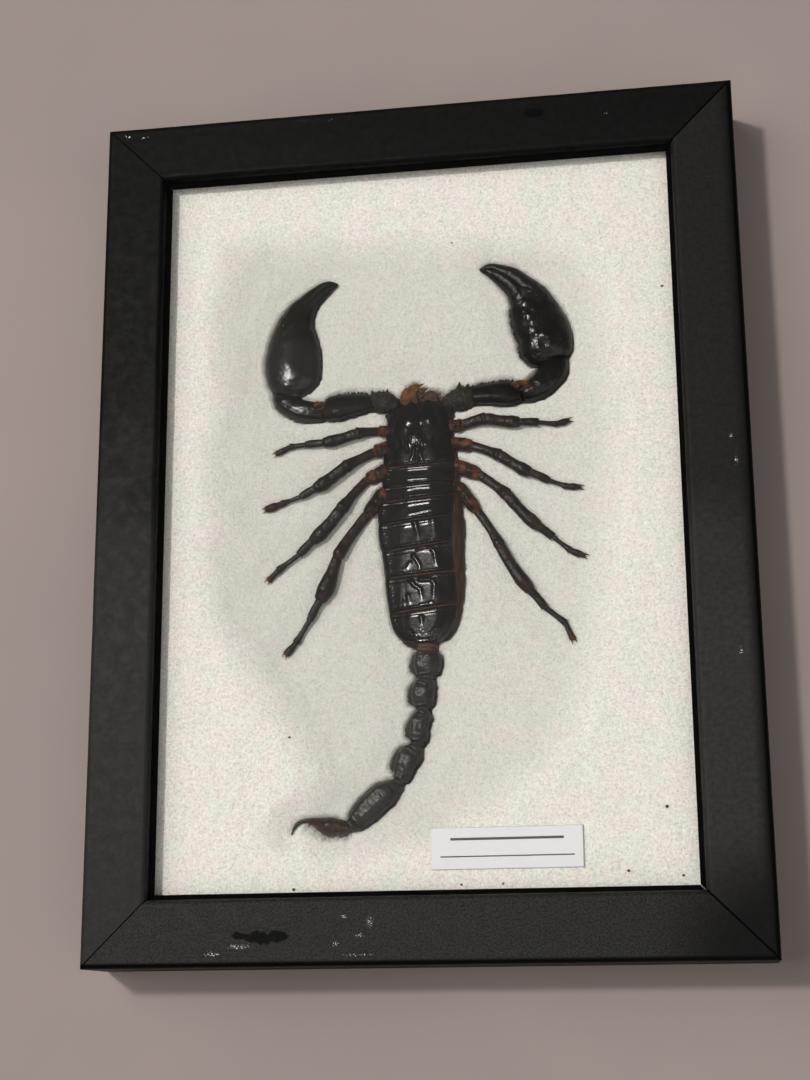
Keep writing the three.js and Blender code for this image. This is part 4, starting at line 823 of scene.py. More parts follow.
# tergites
GAPS = [0.22, 0.22, 0.26, 0.30, 0.38, 0.44, 0.46, 0.2]
FR_Y, FR = [-30.5, -27, -23, -18, -13, -8, -4, 0, 5, 12.5], [0.99, 0.98, 0.93, 0.81, 0.765, 0.72, 0.72, 0.775, 0.85, 0.94]
RIDGES = {
    0: [([(-2.9, 11.25), (-1.2, 11.3), (2.0, 11.2)], 0.12, 0.17), ([(-2.9, 8.75), (-1, 8.85), (2.4, 8.7)], 0.12, 0.2), ([(-2, 9.7), (1.4, 9.65)], 0.03, 0.3)],
    1: [([(-2.9, 6.4), (-2.2, 6.5), (-0.6, 6.75), (2.4, 6.65)], 0.13, 0.24), ([(-2.2, 5.2), (1.6, 5.35)], 0.05, 0.2)],
    2: [([(-2.6, 2.75), (-0.2, 2.9), (2.3, 3.05)], 0.13, 0.26), ([(-2.6, 0.4), (0.2, 0.78), (3.0, 1.2)], 0.13, 0.24)],
    3: [([(-1.2, -1.6), (-0.5, -4.2), (-0.3, -6.4)], 0.09, 0.35), ([(3.2, -1.6), (3.6, -5.8)], 0.06, 0.6), ([(-3.5, -2.3), (-0.2, -2.05), (3.2, -1.6)], 0.08, 0.3)],
    4: [([(-1.6, -9.6), (-0.73, -10.84), (-0.12, -12.02), (-0.02, -13.3)], 0.13, 0.26), ([(-2.2, -11.2), (-2.7, -11.8), (-3.9, -13.1)], 0.045, 0.30), ([(-0.2, -7.75), (2.4, -7.9), (3.4, -8.9), (3.85, -11.5), (4.6, -12.9)], 0.12, 0.32), ([(-1.2, -7.75), (2.2, -7.85)], 0.13, 0.2)],
    5: [([(-2.1, -15.5), (-1.4, -16.55), (-0.1, -17.43), (0.42, -19.9)], 0.14, 0.26), ([(-2.9, -18.9), (-2.6, -20.3), (-4.2, -20.7)], 0.05, 0.34), ([(0.0, -15.3), (2.6, -15.43), (3.3, -16.44), (3.15, -18.71), (2.95, -20.6)], 0.12, 0.3), ([(0.0, -21.15), (1.5, -21.05), (2.9, -20.7)], 0.16, 0.22), ([(-2.9, -15.35), (-0.4, -15.3), (2.4, -15.4)], 0.15, 0.2)],
    6: [([(-2.4, -23.5), (0.9, -23.35), (3.6, -23.15)], 0.11, 0.18), ([(0.22, -24.0), (0.28, -26.0)], 0.12, 0.28), ([(-2.6, -27.2), (-1.76, -28.48), (-1.25, -29.3)], 0.20, 0.26), ([(3.6, -26.9), (2.72, -28.02), (2.0, -28.95)], 0.20, 0.26), ([(-0.6, -28.55), (0.8, -28.9), (1.85, -28.6)], 0.13, 0.16)],
}
for i in range(7):
    g = Geo()
    y0, y1 = BOUND[i][0] - GAPS[i] / 2, BOUND[i + 1][0] + GAPS[i + 1] / 2
    s0, s1 = BOUND[i][1], BOUND[i + 1][1]
    L = y0 - y1
    nvv = int(22 + 10.5 * L)
    f = np.linspace(-1, 1, 128)[None, :]
    f = np.sign(f) * (1 - (1 - np.abs(f)) ** 1.15)
    v = np.linspace(0, 1, nvv)[:, None]
    y = y0 + (y1 - y0) * v + 0 * f
    if i == 6:
        y = y + 0.5 * np.abs(f) ** 3 * v
    c = trunk_at(y)
    xl, xr = c[..., 0] - 0.975 * c[..., 1], c[..., 0] + np.interp(y, FR_Y, FR) * c[..., 1]
    x = (xl + xr) / 2 + f * (xr - xl) / 2
    y = y + (s0 + (s1 - s0) * v) * x + 0.12 * np.abs(f) ** 3 * (1 - v)
    z = trunk_z(x, y)
    # flatter on top than the body below
    u = np.clip(np.abs((x - c[..., 0]) / c[..., 1]), 0, 0.999)
    uf = u * smooth(0.08, 0.42 if i < 3 else 0.55, u)
    z = z + trunk_b(y) * ((1 - uf**2.4) ** (1 / 2.4) - (1 - u**2.4) ** (1 / 2.4))
    z = z + 0.05 * (x - c[..., 0]) * u**3 * smooth(0.95, 0.7, u)
    d0, d1 = v * L, (1 - v) * L                   # distance from front and rear edge
    edge = np.clip(1 - np.abs(f) ** 10, 0, 1) ** 0.5
    lift = (0.41 + (0.10 if i == 6 else 0.0) + (0.11, 0.11, 0.11, 0.088, 0.066, 0.062, 0.085)[i] * L * (v - 0.5) + (0.035 if i > 3 else 0.025) * (1 < i < 6) * smooth(-3.4, -4.8, x) * L * v) * edge * np.sqrt(np.clip(d0 / 0.45, 0, 1)) * np.sqrt(np.clip(0.2 + 0.8 * d1 / 0.2, 0, 1))
    z = z + lift
    fade = np.clip(d0 / 0.5, 0, 1) * np.clip(d1 / 0.35, 0, 1)
    pre = 0.75 if i < 2 else (0.95 if i < 4 else 1.1)
    z -= 0.07 * bell(d0 - pre, 0.16) + 0.05 * smooth(pre + 0.15, pre - 0.15, d0)
    z += 0.06 * bell(d1 - 0.28, 0.22)
    for pts, a, w in RIDGES[i]:
        d, q = near_line(x, y, pts, True)
        if abs(pts[0][1] - pts[-1][1]) > 1.0:
            a, w = 1.9 * a * (1.15 - 1.05 * q), 1.6 * w
        else:
            a, w = 0.55 * a, 1.15 * w
        z += a * bell(d, w) * (0.35 + 0.65 * fade)
    if i in (3, 4, 5):
        # shallow dishes between the keels
        for px in (-2.2, 1.9):
            z -= 0.04 * bell(np.hypot((x - px) / 1.0, (d1 - L * 0.5) / (0.35 * L)), 1.2)
        z -= 0.10 * bell(np.hypot((x - 5.6) / 1.3, (d1 - L * 0.5) / (0.3 * L)), 1.0)
    P = np.stack([x, y, z], -1)
    side = smooth(0.6, 0.97, np.abs(f)) + 0 * x
    gr = granules(P * [1, 1, 0.6], 0.5, 40 + i, 0.5)
    z = z + (0.004 + 0.035 * side + 0.02 * smooth(1.2, 0.4, d1) + (0.03 * smooth(-26.0, -28.0, y) if i == 6 else 0)) * gr * fade
    z = z + (0.009 * fbm(P * [0.45, 0.5, 0.4], 2, 60 + i) + 0.003 * fbm(P * 1.6, 2, 80 + i)) * np.clip(d0 / 0.5, 0, 1)
    z = np.minimum(z, 14.16)
    tone = 0.03 + 0.22 * smooth(0.35, 0.0, d1) + 0.18 * smooth(0.4, 0.0, d0) + 0.24 * smooth(0.9, 1.0, f) + 0.10 * smooth(0.72, 0.95, f) + 0 * x
    lid(g, np.stack([x, y, z], -1), tone.ravel(), 0.35)
    done(g, f"tergite_{i + 1}", "plates", "cuticle")


# claws, limbs
def spikes(geo, root, d, length, radius, bend, tone=0.1, k=7, sides=8):
    """One curved tapering spike."""
    s = np.linspace(0, 1, k)
    d, bend = unit(np.asarray(d, float)), np.asarray(bend, float)
    c = np.asarray(root, float) + d * (length * s)[:, None] + bend * (length * s**2)[:, None]
    st = np.concatenate([c, (radius * (1 - 0.9 * s))[:, None], (radius * (1 - 0.9 * s))[:, None]], 1)
    tube(geo, st, nu=sides, nv=k, n=2.0, cap=(0.3, 0.8), ncap=3, tone=tone)


def podomere(a, b, w, prev, nxt, bow=0.0, hz=0.95, club=0.0):
    """Limb article: starts at the width of its neighbour, swells and ends in a low collar."""
    a, b = np.asarray(a, float), np.asarray(b, float)
    d = b - a
    L = np.linalg.norm(d)
    n = unit(np.cross(d, [0, 0, 1.0]))
    w0, w1, w2 = w
    rows = ((-0.03, 0.90 * min(w0, prev)), (0.06, 1.0 * w0), (0.3, 0.52 * w0 + 0.48 * w1 * (1 - 0.12 * club)), (0.58, w1 * (1 - 0.02 * club)), (0.8, 0.45 * w1 + 0.55 * w2 + 0.16 * club * w1), (0.94, 1.04 * w2), (1.0, 0.97 * w2), (1.03, 0.88 * min(w2, nxt)))
    st = []
    for t, k in rows:
        p = a + d * t + n * bow * L * 4 * t * (1 - t)
        st.append([*p, k / 2, hz * k / 2])
    return st


LEG_TONE = [0.30, 0.13, 0.06, 0.08, 0.14, 0.22]
for li, (name, (J, W)) in enumerate(LEGS.items()):
    g = Geo()
    J = np.array(J)
    right = name.startswith("right")
    for k in range(6):
        a, b = J[k], J[k + 1]
        bow = (0.0, -0.02, 0.03, -0.02, 0.0, 0.02)[k] * (1 if right else -1)
        base = LEG_TONE[k]

        def shape(P, th, t, N, k=k, li=li):
            r = 0.075 * (ridge(th, math.pi * 0.24, 0.22) + ridge(th, math.pi * 0.76, 0.22)) - 0.05 * ridge(th, math.pi * 0.5, 0.3)
            lump = 0.10 * fbm(P * 0.9, 3, 140 + li) + 0.06 * fbm(P * 2.0, 3, 150 + li)
            rough = 0.028 * granules(P, 0.45, 100 + li * 7 + k, 0.55)
            ring = 0.06 * bell(t - 0.90, 0.03) - 0.05 * bell(t - 0.965, 0.02)
            if k == 0:
                r = 0.16 * ridge(th, math.pi * 0.5, 0.25) * smooth(0.1, 0.5, t) + 0.12 * ridge(th, math.pi * 0.15, 0.3) + 0.12 * ridge(th, math.pi * 0.85, 0.3)
                lump = lump * 2.0 - 0.10 * bell(t - 0.55, 0.06)
            return r * (0.4 if k == 5 else 1.0) + (lump + rough + ring) * (1.0 if k < 3 else 0.7)

        def tonef(P, th, t, base=base, li=li, k=k):
            e = 0.22 * smooth(0.10, 0.0, t) + 0.18 * smooth(0.93, 1.0, t)
            if k == 0:
                e = 0.15 * smooth(0.45, 0.85, t) + 0.8 * fbm(P * 0.7, 3, 30 + li)
            if k == 1:
                e = e + 0.35 * smooth(0.25, 0.0, t)
            return np.clip(base + e + 0.30 * fbm(P * 0.7, 3, 170 + li) + (0.14 * smooth(0.2, 0.8, t) if k == 5 else 0), 0, 1)

        prev = W[k - 1][2] if k else W[k][0]
        nxt = W[k + 1][0] if k < 5 else W[k][2]
        tube(g, podomere(a, b, np.array(W[k]), prev, nxt, bow, 0.95, (0.4, 0.3, 1.0, 0.3, 0.2, 0.2)[k]), nu=28 if k < 4 else 18, nv=36 if k < 4 else 26, n=2.3, cap=(0.5, 0.4), shape=shape, tone=tonef)
        if k:
            r = 0.47 * min(W[k][0], W[k - 1][2])
            blob(g, a + [0, 0, -0.05], (r, r, r * 0.95), 0.30 if k > 1 else 0.55, 16, 11, k + li)
    # feet: two claws and a small spur
    d = unit(J[6] - J[5])
    n = unit(np.cross(d, [0, 0, 1.0]))
    for s in (-1, 1):
        spikes(g, J[6] + n * 0.22 * s - d * 0.1, d + n * 0.60 * s, 1.5, 0.21, np.array([0, 0, -0.28]) - n * 0.34 * s, 0.05)
    spikes(g, J[6] - d * 0.15 - [0, 0, 0.3], d + [0, 0, -0.8], 0.55, 0.13, np.array([0, 0, -0.2]), 0.2)
    # bristles and spines along the limb
    R0, D0 = [], []
    for k in range(1, 6):
        a, b = J[k], J[k + 1]
        L = np.linalg.norm(b - a)
        d = unit(b - a)
        n = unit(np.cross(d, [0, 0, 1.0]))
        for q in range(int(L * (3.4 if k > 3 else 2.2))):
            t = RNG.uniform(0.1, 0.97)
            ang = RNG.uniform(0, 2 * math.pi)
            w = np.interp(t, [0, 0.5, 1], W[k]) / 2
            nn = n * math.cos(ang) + np.array([0, 0, 1.0]) * math.sin(ang) * 0.9
            R0.append(a + (b - a) * t + nn * w * 0.94)
            D0.append(unit(nn * 0.7 + d * 0.85))
    hairs(g, np.array(R0), np.array(D0), 0.7, 0.03, 0.2, 0.3)
    for k in (3, 4, 5):
        d = unit(J[k + 1] - J[k])
        n = unit(np.cross(d, [0, 0, 1.0]))
        for s in (-1, 1):
            spikes(g, J[k + 1] - d * 0.35 + n * s * W[k][2] * 0.40, d * 0.85 + n * s * 0.6, 0.75, 0.11, np.array([0, 0, -0.15]), 0.2, 5, 6)
    done(g, "leg_" + name, "limb", "limb")

# pedipalps
KNEE = {"left": ((-23.9, 28.45, 12.0), (1.7, 1.35, 1.25)), "right": ((24.2, 30.5, 12.2), (2.5, 1.35, 1.25))}
TEETH = {
    "left": [(-11.0, 30.0, -0.15, 1.0, 1.9, 0.85), (-9.3, 30.0, 0.1, 1.0, 1.3, 0.7), (-7.9, 30.2, 0.2, 1.0, 1.8, 0.9), (-6.6, 29.6, 0.5, 0.9, 1.2, 0.6), (-10.3, 27.6, -0.3, -1.0, 1.4, 0.7), (-8.6, 27.0, 0.0, -1.0, 1.2, 0.6)],
    "right": [(9.4, 30.3, 0.05, 1.0, 2.3, 1.0), (11.4, 30.6, 0.1, 1.0, 1.6, 0.8), (7.9, 29.2, -0.3, 1.0, 1.4, 0.7), (12.6, 30.8, 0.2, 1.0, 1.0, 0.5), (10.4, 27.0, 0.2, -1.0, 1.0, 0.6), (8.6, 26.6, 0.0, -1.0, 1.1, 0.6)],
}
LUMPS = {
    "left": [(-31.2, 38.6, 1.5, 0.10), (-32.4, 41.6, 1.8, 0.05), (-28.6, 36.2, 1.6, 0.08)],
    "right": [(30.1, 42.2, 0.95, 0.24), (28.2, 42.6, 0.8, 0.14), (28.7, 39.3, 0.9, 0.16), (26.2, 47.7, 0.85, 0.20), (27.8, 49.2, 0.75, 0.17), (25.1, 48.7, 0.7, 0.16), (27.3, 46.0, 0.75, 0.16), (31.6, 40.0, 1.0, 0.12), (26.6, 44.2, 0.9, 0.12), (25.6, 51.0, 0.8, 0.12)],
}
KEEL = {
    "left": [([(-36.6, 40.6), (-36.1, 42.3), (-34.0, 45.9), (-31.3, 48.9), (-29.3, 50.1), (-27.5, 53.0)], 0.08, 0.5), ([(-34.9, 35.0), (-36.3, 38.5)], 0.10, 0.5)],
    "right": [([(26.9, 53.9), (28.6, 54.2), (31.0, 52.6)], 0.15, 0.3), ([(29.0, 52.0), (32.2, 48.0), (34.6, 43.0)], 0.10, 0.5)],
}
for side in ("left", "right"):
    s = -1 if side == "left" else 1
    up = math.pi * (0.88 if s < 0 else 0.12)       # the head-side edge of the arm
    fem = [list(r) for r in FEMUR[side]]
    if s < 0:
        fem[0] = [-22.75, 26.75, 10.6, 2.0, 2.0]
    else:
        fem[3][3], fem[4][3] = 2.5, 2.3

    # trochanter
    g = Geo()

    def shape(P, th, t, N):
        return 0.24 * granules(P, 0.9, 210 + s, 0.75) + 0.22 * fbm(P * 0.7, 3, 215) + 0.18 * ridge(th, up, 0.3) + 0.12 * ridge(th, math.pi / 2, 0.3)

    tr = np.array(TROCH[side])
    tr[:, 3:] *= [0.86, 0.90]
    tube(g, tr, nu=53, nv=50, n=2.7, cap=(0.55, 0.6), shape=shape, tone=lambda P, th, t: np.clip((0.03 if s < 0 else 0.06) + 0.22 * smooth(0.75, 1, t) + 0.35 * np.clip(fbm(P * 0.7, 3, 217 + s), 0, 1), 0, 1))
    for bx, by, dx, dy, ln, rd in TEETH[side]:
        spikes(g, (bx, by, 11.6), (dx, dy, 0.12), ln, rd, np.array([0.05 * s, 0, -0.08]), RNG.uniform(0.02, 0.25), 8, 9)
    C = tr
    K = np.linspace(0, 1, len(C))
    for q in range(34):
        p = hermite(K, np.array([RNG.uniform(0.0, 0.85)]), C)[0]
        ang = RNG.uniform(0.0, 0.75) * math.pi
        nn = unit(np.array([RNG.normal() * 0.35, math.cos(ang), math.sin(ang)]))
        spikes(g, p[:3] + nn * [0, p[3] * 0.9, p[4] * 0.9], nn + [0, 0.3, 0], RNG.uniform(0.45, 1.0), RNG.uniform(0.18, 0.34), np.array([0, 0.1, -0.1]), RNG.uniform(0.0, 0.3), 5, 7)
    nn = unit(RNG.normal(size=(70, 3)) + [0, 0.4, 0.3])
    R0 = C[RNG.integers(0, len(C), 70)]
    hairs(g, R0[:, :3] + nn * np.stack([R0[:, 3], R0[:, 3], R0[:, 4]], 1) * 0.95, unit(nn + [0, 0.4, 0]), 0.95, 0.028, 0.2, 0.5)
    done(g, "pedipalp_trochanter_" + side, "trochanter", "limb")

    # femur
    g = Geo()

    def shape(P, th, t, N):
        teeth = granules(P * [1, 1, 0.4], 0.62, 228 + s, 0.95)
        e = smooth(0.02, 0.12, t) * smooth(1.0, 0.92, t)
        r = (0.10 + 0.42 * teeth) * ridge(th, up, 0.2) * e
        r = r + (0.06 + 0.10 * teeth) * ridge(th, math.pi - up, 0.2) * e
        return r + 0.02 * granules(P, 0.5, 230 + s, 0.5) + 0.05 * fbm(P * 0.5, 3, 231)

    tube(g, fem, nu=72, nv=76, n=2.7, cap=(0.35, 0.5), shape=shape, warp=lambda P: P - np.stack([0 * P[..., 0], 0 * P[..., 0], 0.20 * (P[..., 1] - 28.6)], -1), tone=lambda P, th, t: np.clip(0.02 + 0.12 * smooth(0.92, 1.0, t) + 0.12 * fbm(P * 0.5, 3, 14), 0, 1))
    C = np.array(fem)
    K = np.linspace(0, 1, len(C))
    for q in range(15):
        p = hermite(K, np.array([0.16 + 0.80 * q / 15]), C)[0]
        spikes(g, p[:3] + [0, p[3] * 0.95, 0.1 - 0.2 * p[3]], np.array([RNG.normal() * 0.25, 1.0, 0.1]), RNG.uniform(0.75, 1.10), RNG.uniform(0.38, 0.5), np.array([0, 0, -0.1]), 0.03, 5, 7)
    R0 = [hermite(K, np.array([RNG.uniform(0.1, 0.9)]), C)[0] for _ in range(60)]
    nn = unit(np.array([[RNG.normal() * 0.3, RNG.normal(), abs(RNG.normal())] for _ in range(60)]))
    hairs(g, np.array([r[:3] + q * [r[3], r[3], r[4]] * np.array(0.95) for r, q in zip(R0, nn)]), nn, 0.55, 0.026, 0.25, 0.4)
    done(g, "pedipalp_femur_" + side, "femur", "cuticle")

    # patella, with the soft knee membrane that shows on its head side
    g = Geo()

    def shape(P, th, t, N):
        e = smooth(0.02, 0.15, t) * smooth(1.0, 0.88, t)
        r = 0.16 * ridge(th, math.pi * 0.30, 0.2) * e + 0.14 * ridge(th, math.pi * 0.72, 0.22) * e
        return r + 0.03 * granules(P, 0.5, 250 + s, 0.5) + 0.09 * fbm(P * 0.55, 4, 251)

    tube(g, PATELLA[side], nu=68, nv=68, n=2.5, cap=(0.7, 0.5), shape=shape, tone=lambda P, th, t: np.clip(0.02 + 0.10 * fbm(P * 0.5, 3, 15), 0, 1))
    kc, kr = KNEE[side]
    blob(g, kc, kr, 0.58, 40, 26, 5 + s, 0.22)
    blob(g, (kc[0] + 0.7 * s, kc[1] + 0.25, kc[2] + 0.2), (kr[0] * 0.42, kr[1] * 0.6, kr[2] * 0.9), 0.85, 26, 18, 15 + s, 0.25)
    blob(g, (kc[0] + 0.1 * s, kc[1] - 0.45, kc[2] + 0.3), (kr[0] * 0.5, kr[1] * 0.45, kr[2] * 0.9), 0.12, 26, 18, 25 + s, 0.25)
    blob(g, (kc[0] - 0.5 * s, kc[1] + 0.15, kc[2] + 0.25), (kr[0] * 0.55, kr[1] * 0.7, kr[2] * 0.9), 0.45, 26, 18, 8 + s, 0.2)
    C = np.array(PATELLA[side])
    K = np.linspace(0, 1, len(C))
    R0 = [hermite(K, np.array([RNG.uniform(0.1, 0.9)]), C)[0] for _ in range(60)]
    nn = unit(np.array([[RNG.normal(), RNG.normal(), abs(RNG.normal()) * 0.8] for _ in range(60)]))
    hairs(g, np.array([r[:3] + q * [r[3], r[3], r[4]] * np.array(0.95) for r, q in zip(R0, nn)]), nn, 0.55, 0.026, 0.25, 0.4)
    for q in range(10):
        p = hermite(K, np.array([0.08 + 0.05 * q]), C)[0]
        spikes(g, p[:3] + [p[3] * -0.6 * s, p[3] * 0.6, p[4] * 0.4], np.array([-0.7 * s, 0.7, 0.2]), 0.4, 0.2, np.array([0, 0, -0.1]), 0.03, 5, 7)
    done(g, "pedipalp_patella_" + side, "cuticle", "cuticle")

    # hand with the fixed finger
    H, F = np.array(HAND[side]), np.array(FINGERS[side])
    inner = 0.0 if s < 0 else math.pi              # angle of the body side of the hand
    saw = 0.5 if s < 0 else 1.0

    def shape(P, th, t, N):
        e = smooth(0.0, 0.10, t) * smooth(1.02, 0.85, t)
        teeth = granules(P, 0.8, 270 + s, 0.85)
        r = (0.04 + 0.42 * teeth) * ridge(th, inner, 0.22) * e * saw
        topf = np.clip(np.sin(th), 0, 1)
        for px, py, pr, ph in LUMPS[side]:
            r = r + ph * bell(np.hypot(P[..., 0] - px, P[..., 1] - py), pr) * topf
        for pts, a, w in KEEL[side]:
            r = r + a * bell(near_line(P[..., 0], P[..., 1], pts), w) * topf
        low = smooth(0.35, 0.05, t)
        fine = (0.010 if s < 0 else 0.035) * granules(P, 0.5, 285 + s, 0.5) + (0.035 if s < 0 else 0.06) * low * granules(P, 0.75, 288, 0.6) + 0.04 * fbm(P * 0.9, 3, 289) * low
        return r + (0.05 if s < 0 else 0.10) * fbm(P * 0.4, 4, 280 + s) + fine

    g = Geo()
    tube(g, H, nu=126, nv=126, n=2.2, cap=(0.5, 0.9), ncap=8, shape=shape, tone=lambda P, th, t: np.clip(0.02 + 0.06 * fbm(P * 0.4, 3, 5), 0, 1))
    Tf = unit(np.gradient(F[:, :3], axis=0))
    S = np.cross(Tf, [0, 0, 1.0])
    into = 1.0 if s < 0 else -1.0                  # towards the fixed (inner) finger
    fx = np.concatenate([F[:, :3] + S * (into * 0.32 * F[:, 3])[:, None], 0.68 * F[:, 3:4], 0.98 * F[:, 4:5]], 1)
    root = np.concatenate([H[-4, :3] + S[0] * into * 0.36 * H[-4, 3], [0.56 * H[-4, 3], 0.93 * H[-4, 4]]])[None]

    def fshape(P, th, t, N):
        return (0.05 if s < 0 else 0.12) * fbm(P * (0.5 if s < 0 else 0.9), 3, 290) + (0.02 if s < 0 else 0.03) * granules(P, 0.55, 291 + s, 0.6) + (0.0 if s < 0 else 0.06) * ridge(th, math.pi / 2, 0.3) * smooth(1.0, 0.8, t)

    tube(g, np.concatenate([root, fx]), nu=55, nv=86, n=2.15, cap=(0.4, 0.8), shape=fshape, tone=lambda P, th, t: np.clip(0.02 + 0.10 * smooth(0.85, 1.0, t), 0, 1))
    C = H[1:-1]
    nn = unit(np.array([[RNG.normal(), RNG.normal() * 0.5, abs(RNG.normal()) * 0.6] for _ in range(110)]))
    R0 = C[RNG.integers(0, len(C), 110)]
    hairs(g, R0[:, :3] + nn * np.stack([R0[:, 3], R0[:, 3] * 0.4, R0[:, 4]], 1) * 0.97, nn, 0.5, 0.024, 0.25, 0.4)
    done(g, "pincer_hand_" + side, "hand_" + side, "cuticle")

    # movable finger
    g = Geo()
    mv = np.concatenate([F[:, :3] - S * (into * 0.34 * F[:, 3])[:, None], 0.66 * F[:, 3:4], 0.93 * F[:, 4:5]], 1)
    mv[-1, :3] += Tf[-1] * 0.25
    root = np.concatenate([H[-4, :3] - S[0] * into * 0.50 * H[-4, 3], [0.42 * H[-4, 3], 0.88 * H[-4, 4]]])[None]
    tube(g, np.concatenate([root, mv]), nu=55, nv=86, n=2.15, cap=(0.4, 0.8), shape=fshape, tone=lambda P, th, t: np.clip(0.02 + 0.10 * smooth(0.85, 1.0, t), 0, 1))
    nn = unit(np.array([[RNG.normal(), RNG.normal(), abs(RNG.normal()) * 0.6] for _ in range(50)]))
    R0 = mv[RNG.integers(0, len(mv) - 1, 50)]
    hairs(g, R0[:, :3] + nn * np.stack([R0[:, 3], R0[:, 3], R0[:, 4]], 1) * 0.97, nn, 0.45, 0.024, 0.25, 0.4)
    done(g, "pincer_finger_" + side, "hand_" + side, "cuticle")

    # chelicera: body, two short fingers and a brush of bristles
    g = Geo()
    if s < 0:
        body = [[-2.5, 27.3, 10.1, 1.9, 0.9], [-2.5, 28.8, 10.9, 2.15, 1.15], [-2.2, 30.1, 11.5, 1.95, 1.4], [-1.5, 31.1, 11.7, 1.4, 1.2], [-0.6, 31.8, 11.7, 0.7, 0.8]]
    else:
        body = [[1.6, 27.6, 10.1, 1.2, 0.9], [2.0, 28.6, 10.7, 1.9, 1.1], [2.9, 29.3, 11.0, 1.7, 1.1], [4.0, 29.2, 10.9, 1.1, 0.9]]
    C = np.array(body)

    def shape(P, th, t, N):
        return 0.42 * fbm(P * 0.9, 4, 300) + 0.12 * granules(P, 0.6, 301, 0.6) + 0.34 * ridge(th, math.pi * 0.62, 0.2) - 0.30 * ridge(th, math.pi * 0.40, 0.22) + 0.22 * ridge(th, math.pi * 0.2, 0.2)

    tube(g, C, nu=49, nv=50, n=2.3, cap=(0.5, 0.7), shape=shape, tone=lambda P, th, t: np.clip((0.18 if s < 0 else 0.95) + 0.30 * smooth(0.25, 0.0, t) + 0.55 * fbm(P * 0.8, 3, 8), 0, 1))
    d = unit(C[-1, :3] - C[-2, :3])
    n = unit(np.cross(d, [0, 0, 1.0]))
    p = C[-1, :3] - d * 0.3
    if s < 0:
        spikes(g, (-1.7, 31.2, 12.1), (0.85, 0.5, 0.05), 3.0, 0.75, np.array([0.12, -0.02, -0.1]), 0.10, 11, 14)
        spikes(g, (0.2, 30.6, 11.9), (0.8, 0.5, 0.0), 2.1, 0.8, np.array([0.1, -0.05, -0.08]), 0.45, 10, 14)
        spikes(g, (-3.6, 29.9, 11.8), (0.1, 1.0, 0.0), 1.7, 0.8, np.array([0.25, -0.1, -0.08]), 0.15, 9, 12)
        spikes(g, (0.3, 29.4, 11.7), (0.6, 0.6, 0.0), 1.3, 0.7, np.array([0.1, -0.1, -0.08]), 0.6, 8, 12)
    else:
        spikes(g, p - n * 0.3, d - n * 0.1, 0.9, 0.45, n * 0.2, 0.7, 8, 10)
        spikes(g, (1.6, 29.3, 11.3), (0.3, 1.0, 0.1), 1.4, 0.6, np.array([0.2, 0, -0.1]), 0.8, 8, 10)
        spikes(g, (3.0, 29.6, 11.2), (0.5, 0.8, 0.1), 1.2, 0.55, np.array([0.2, 0, -0.1]), 0.8, 8, 10)
    nn = unit(RNG.normal(size=(300, 3)) + [0.2, 0.6, 0.4])
    R0 = C[RNG.integers(0, len(C), 300)] + RNG.normal(size=(300, 5)) * [0.4, 0.3, 0, 0, 0]
    hairs(g, R0[:, :3] + nn * np.stack([R0[:, 3], R0[:, 3], R0[:, 4]], 1) * 0.9, unit(nn + [0.5 * s, 0.6, 0.1]), 1.0, 0.045, 0.2, 0.3)
    done(g, "chelicera_" + side, "chelicera", "chelicera")

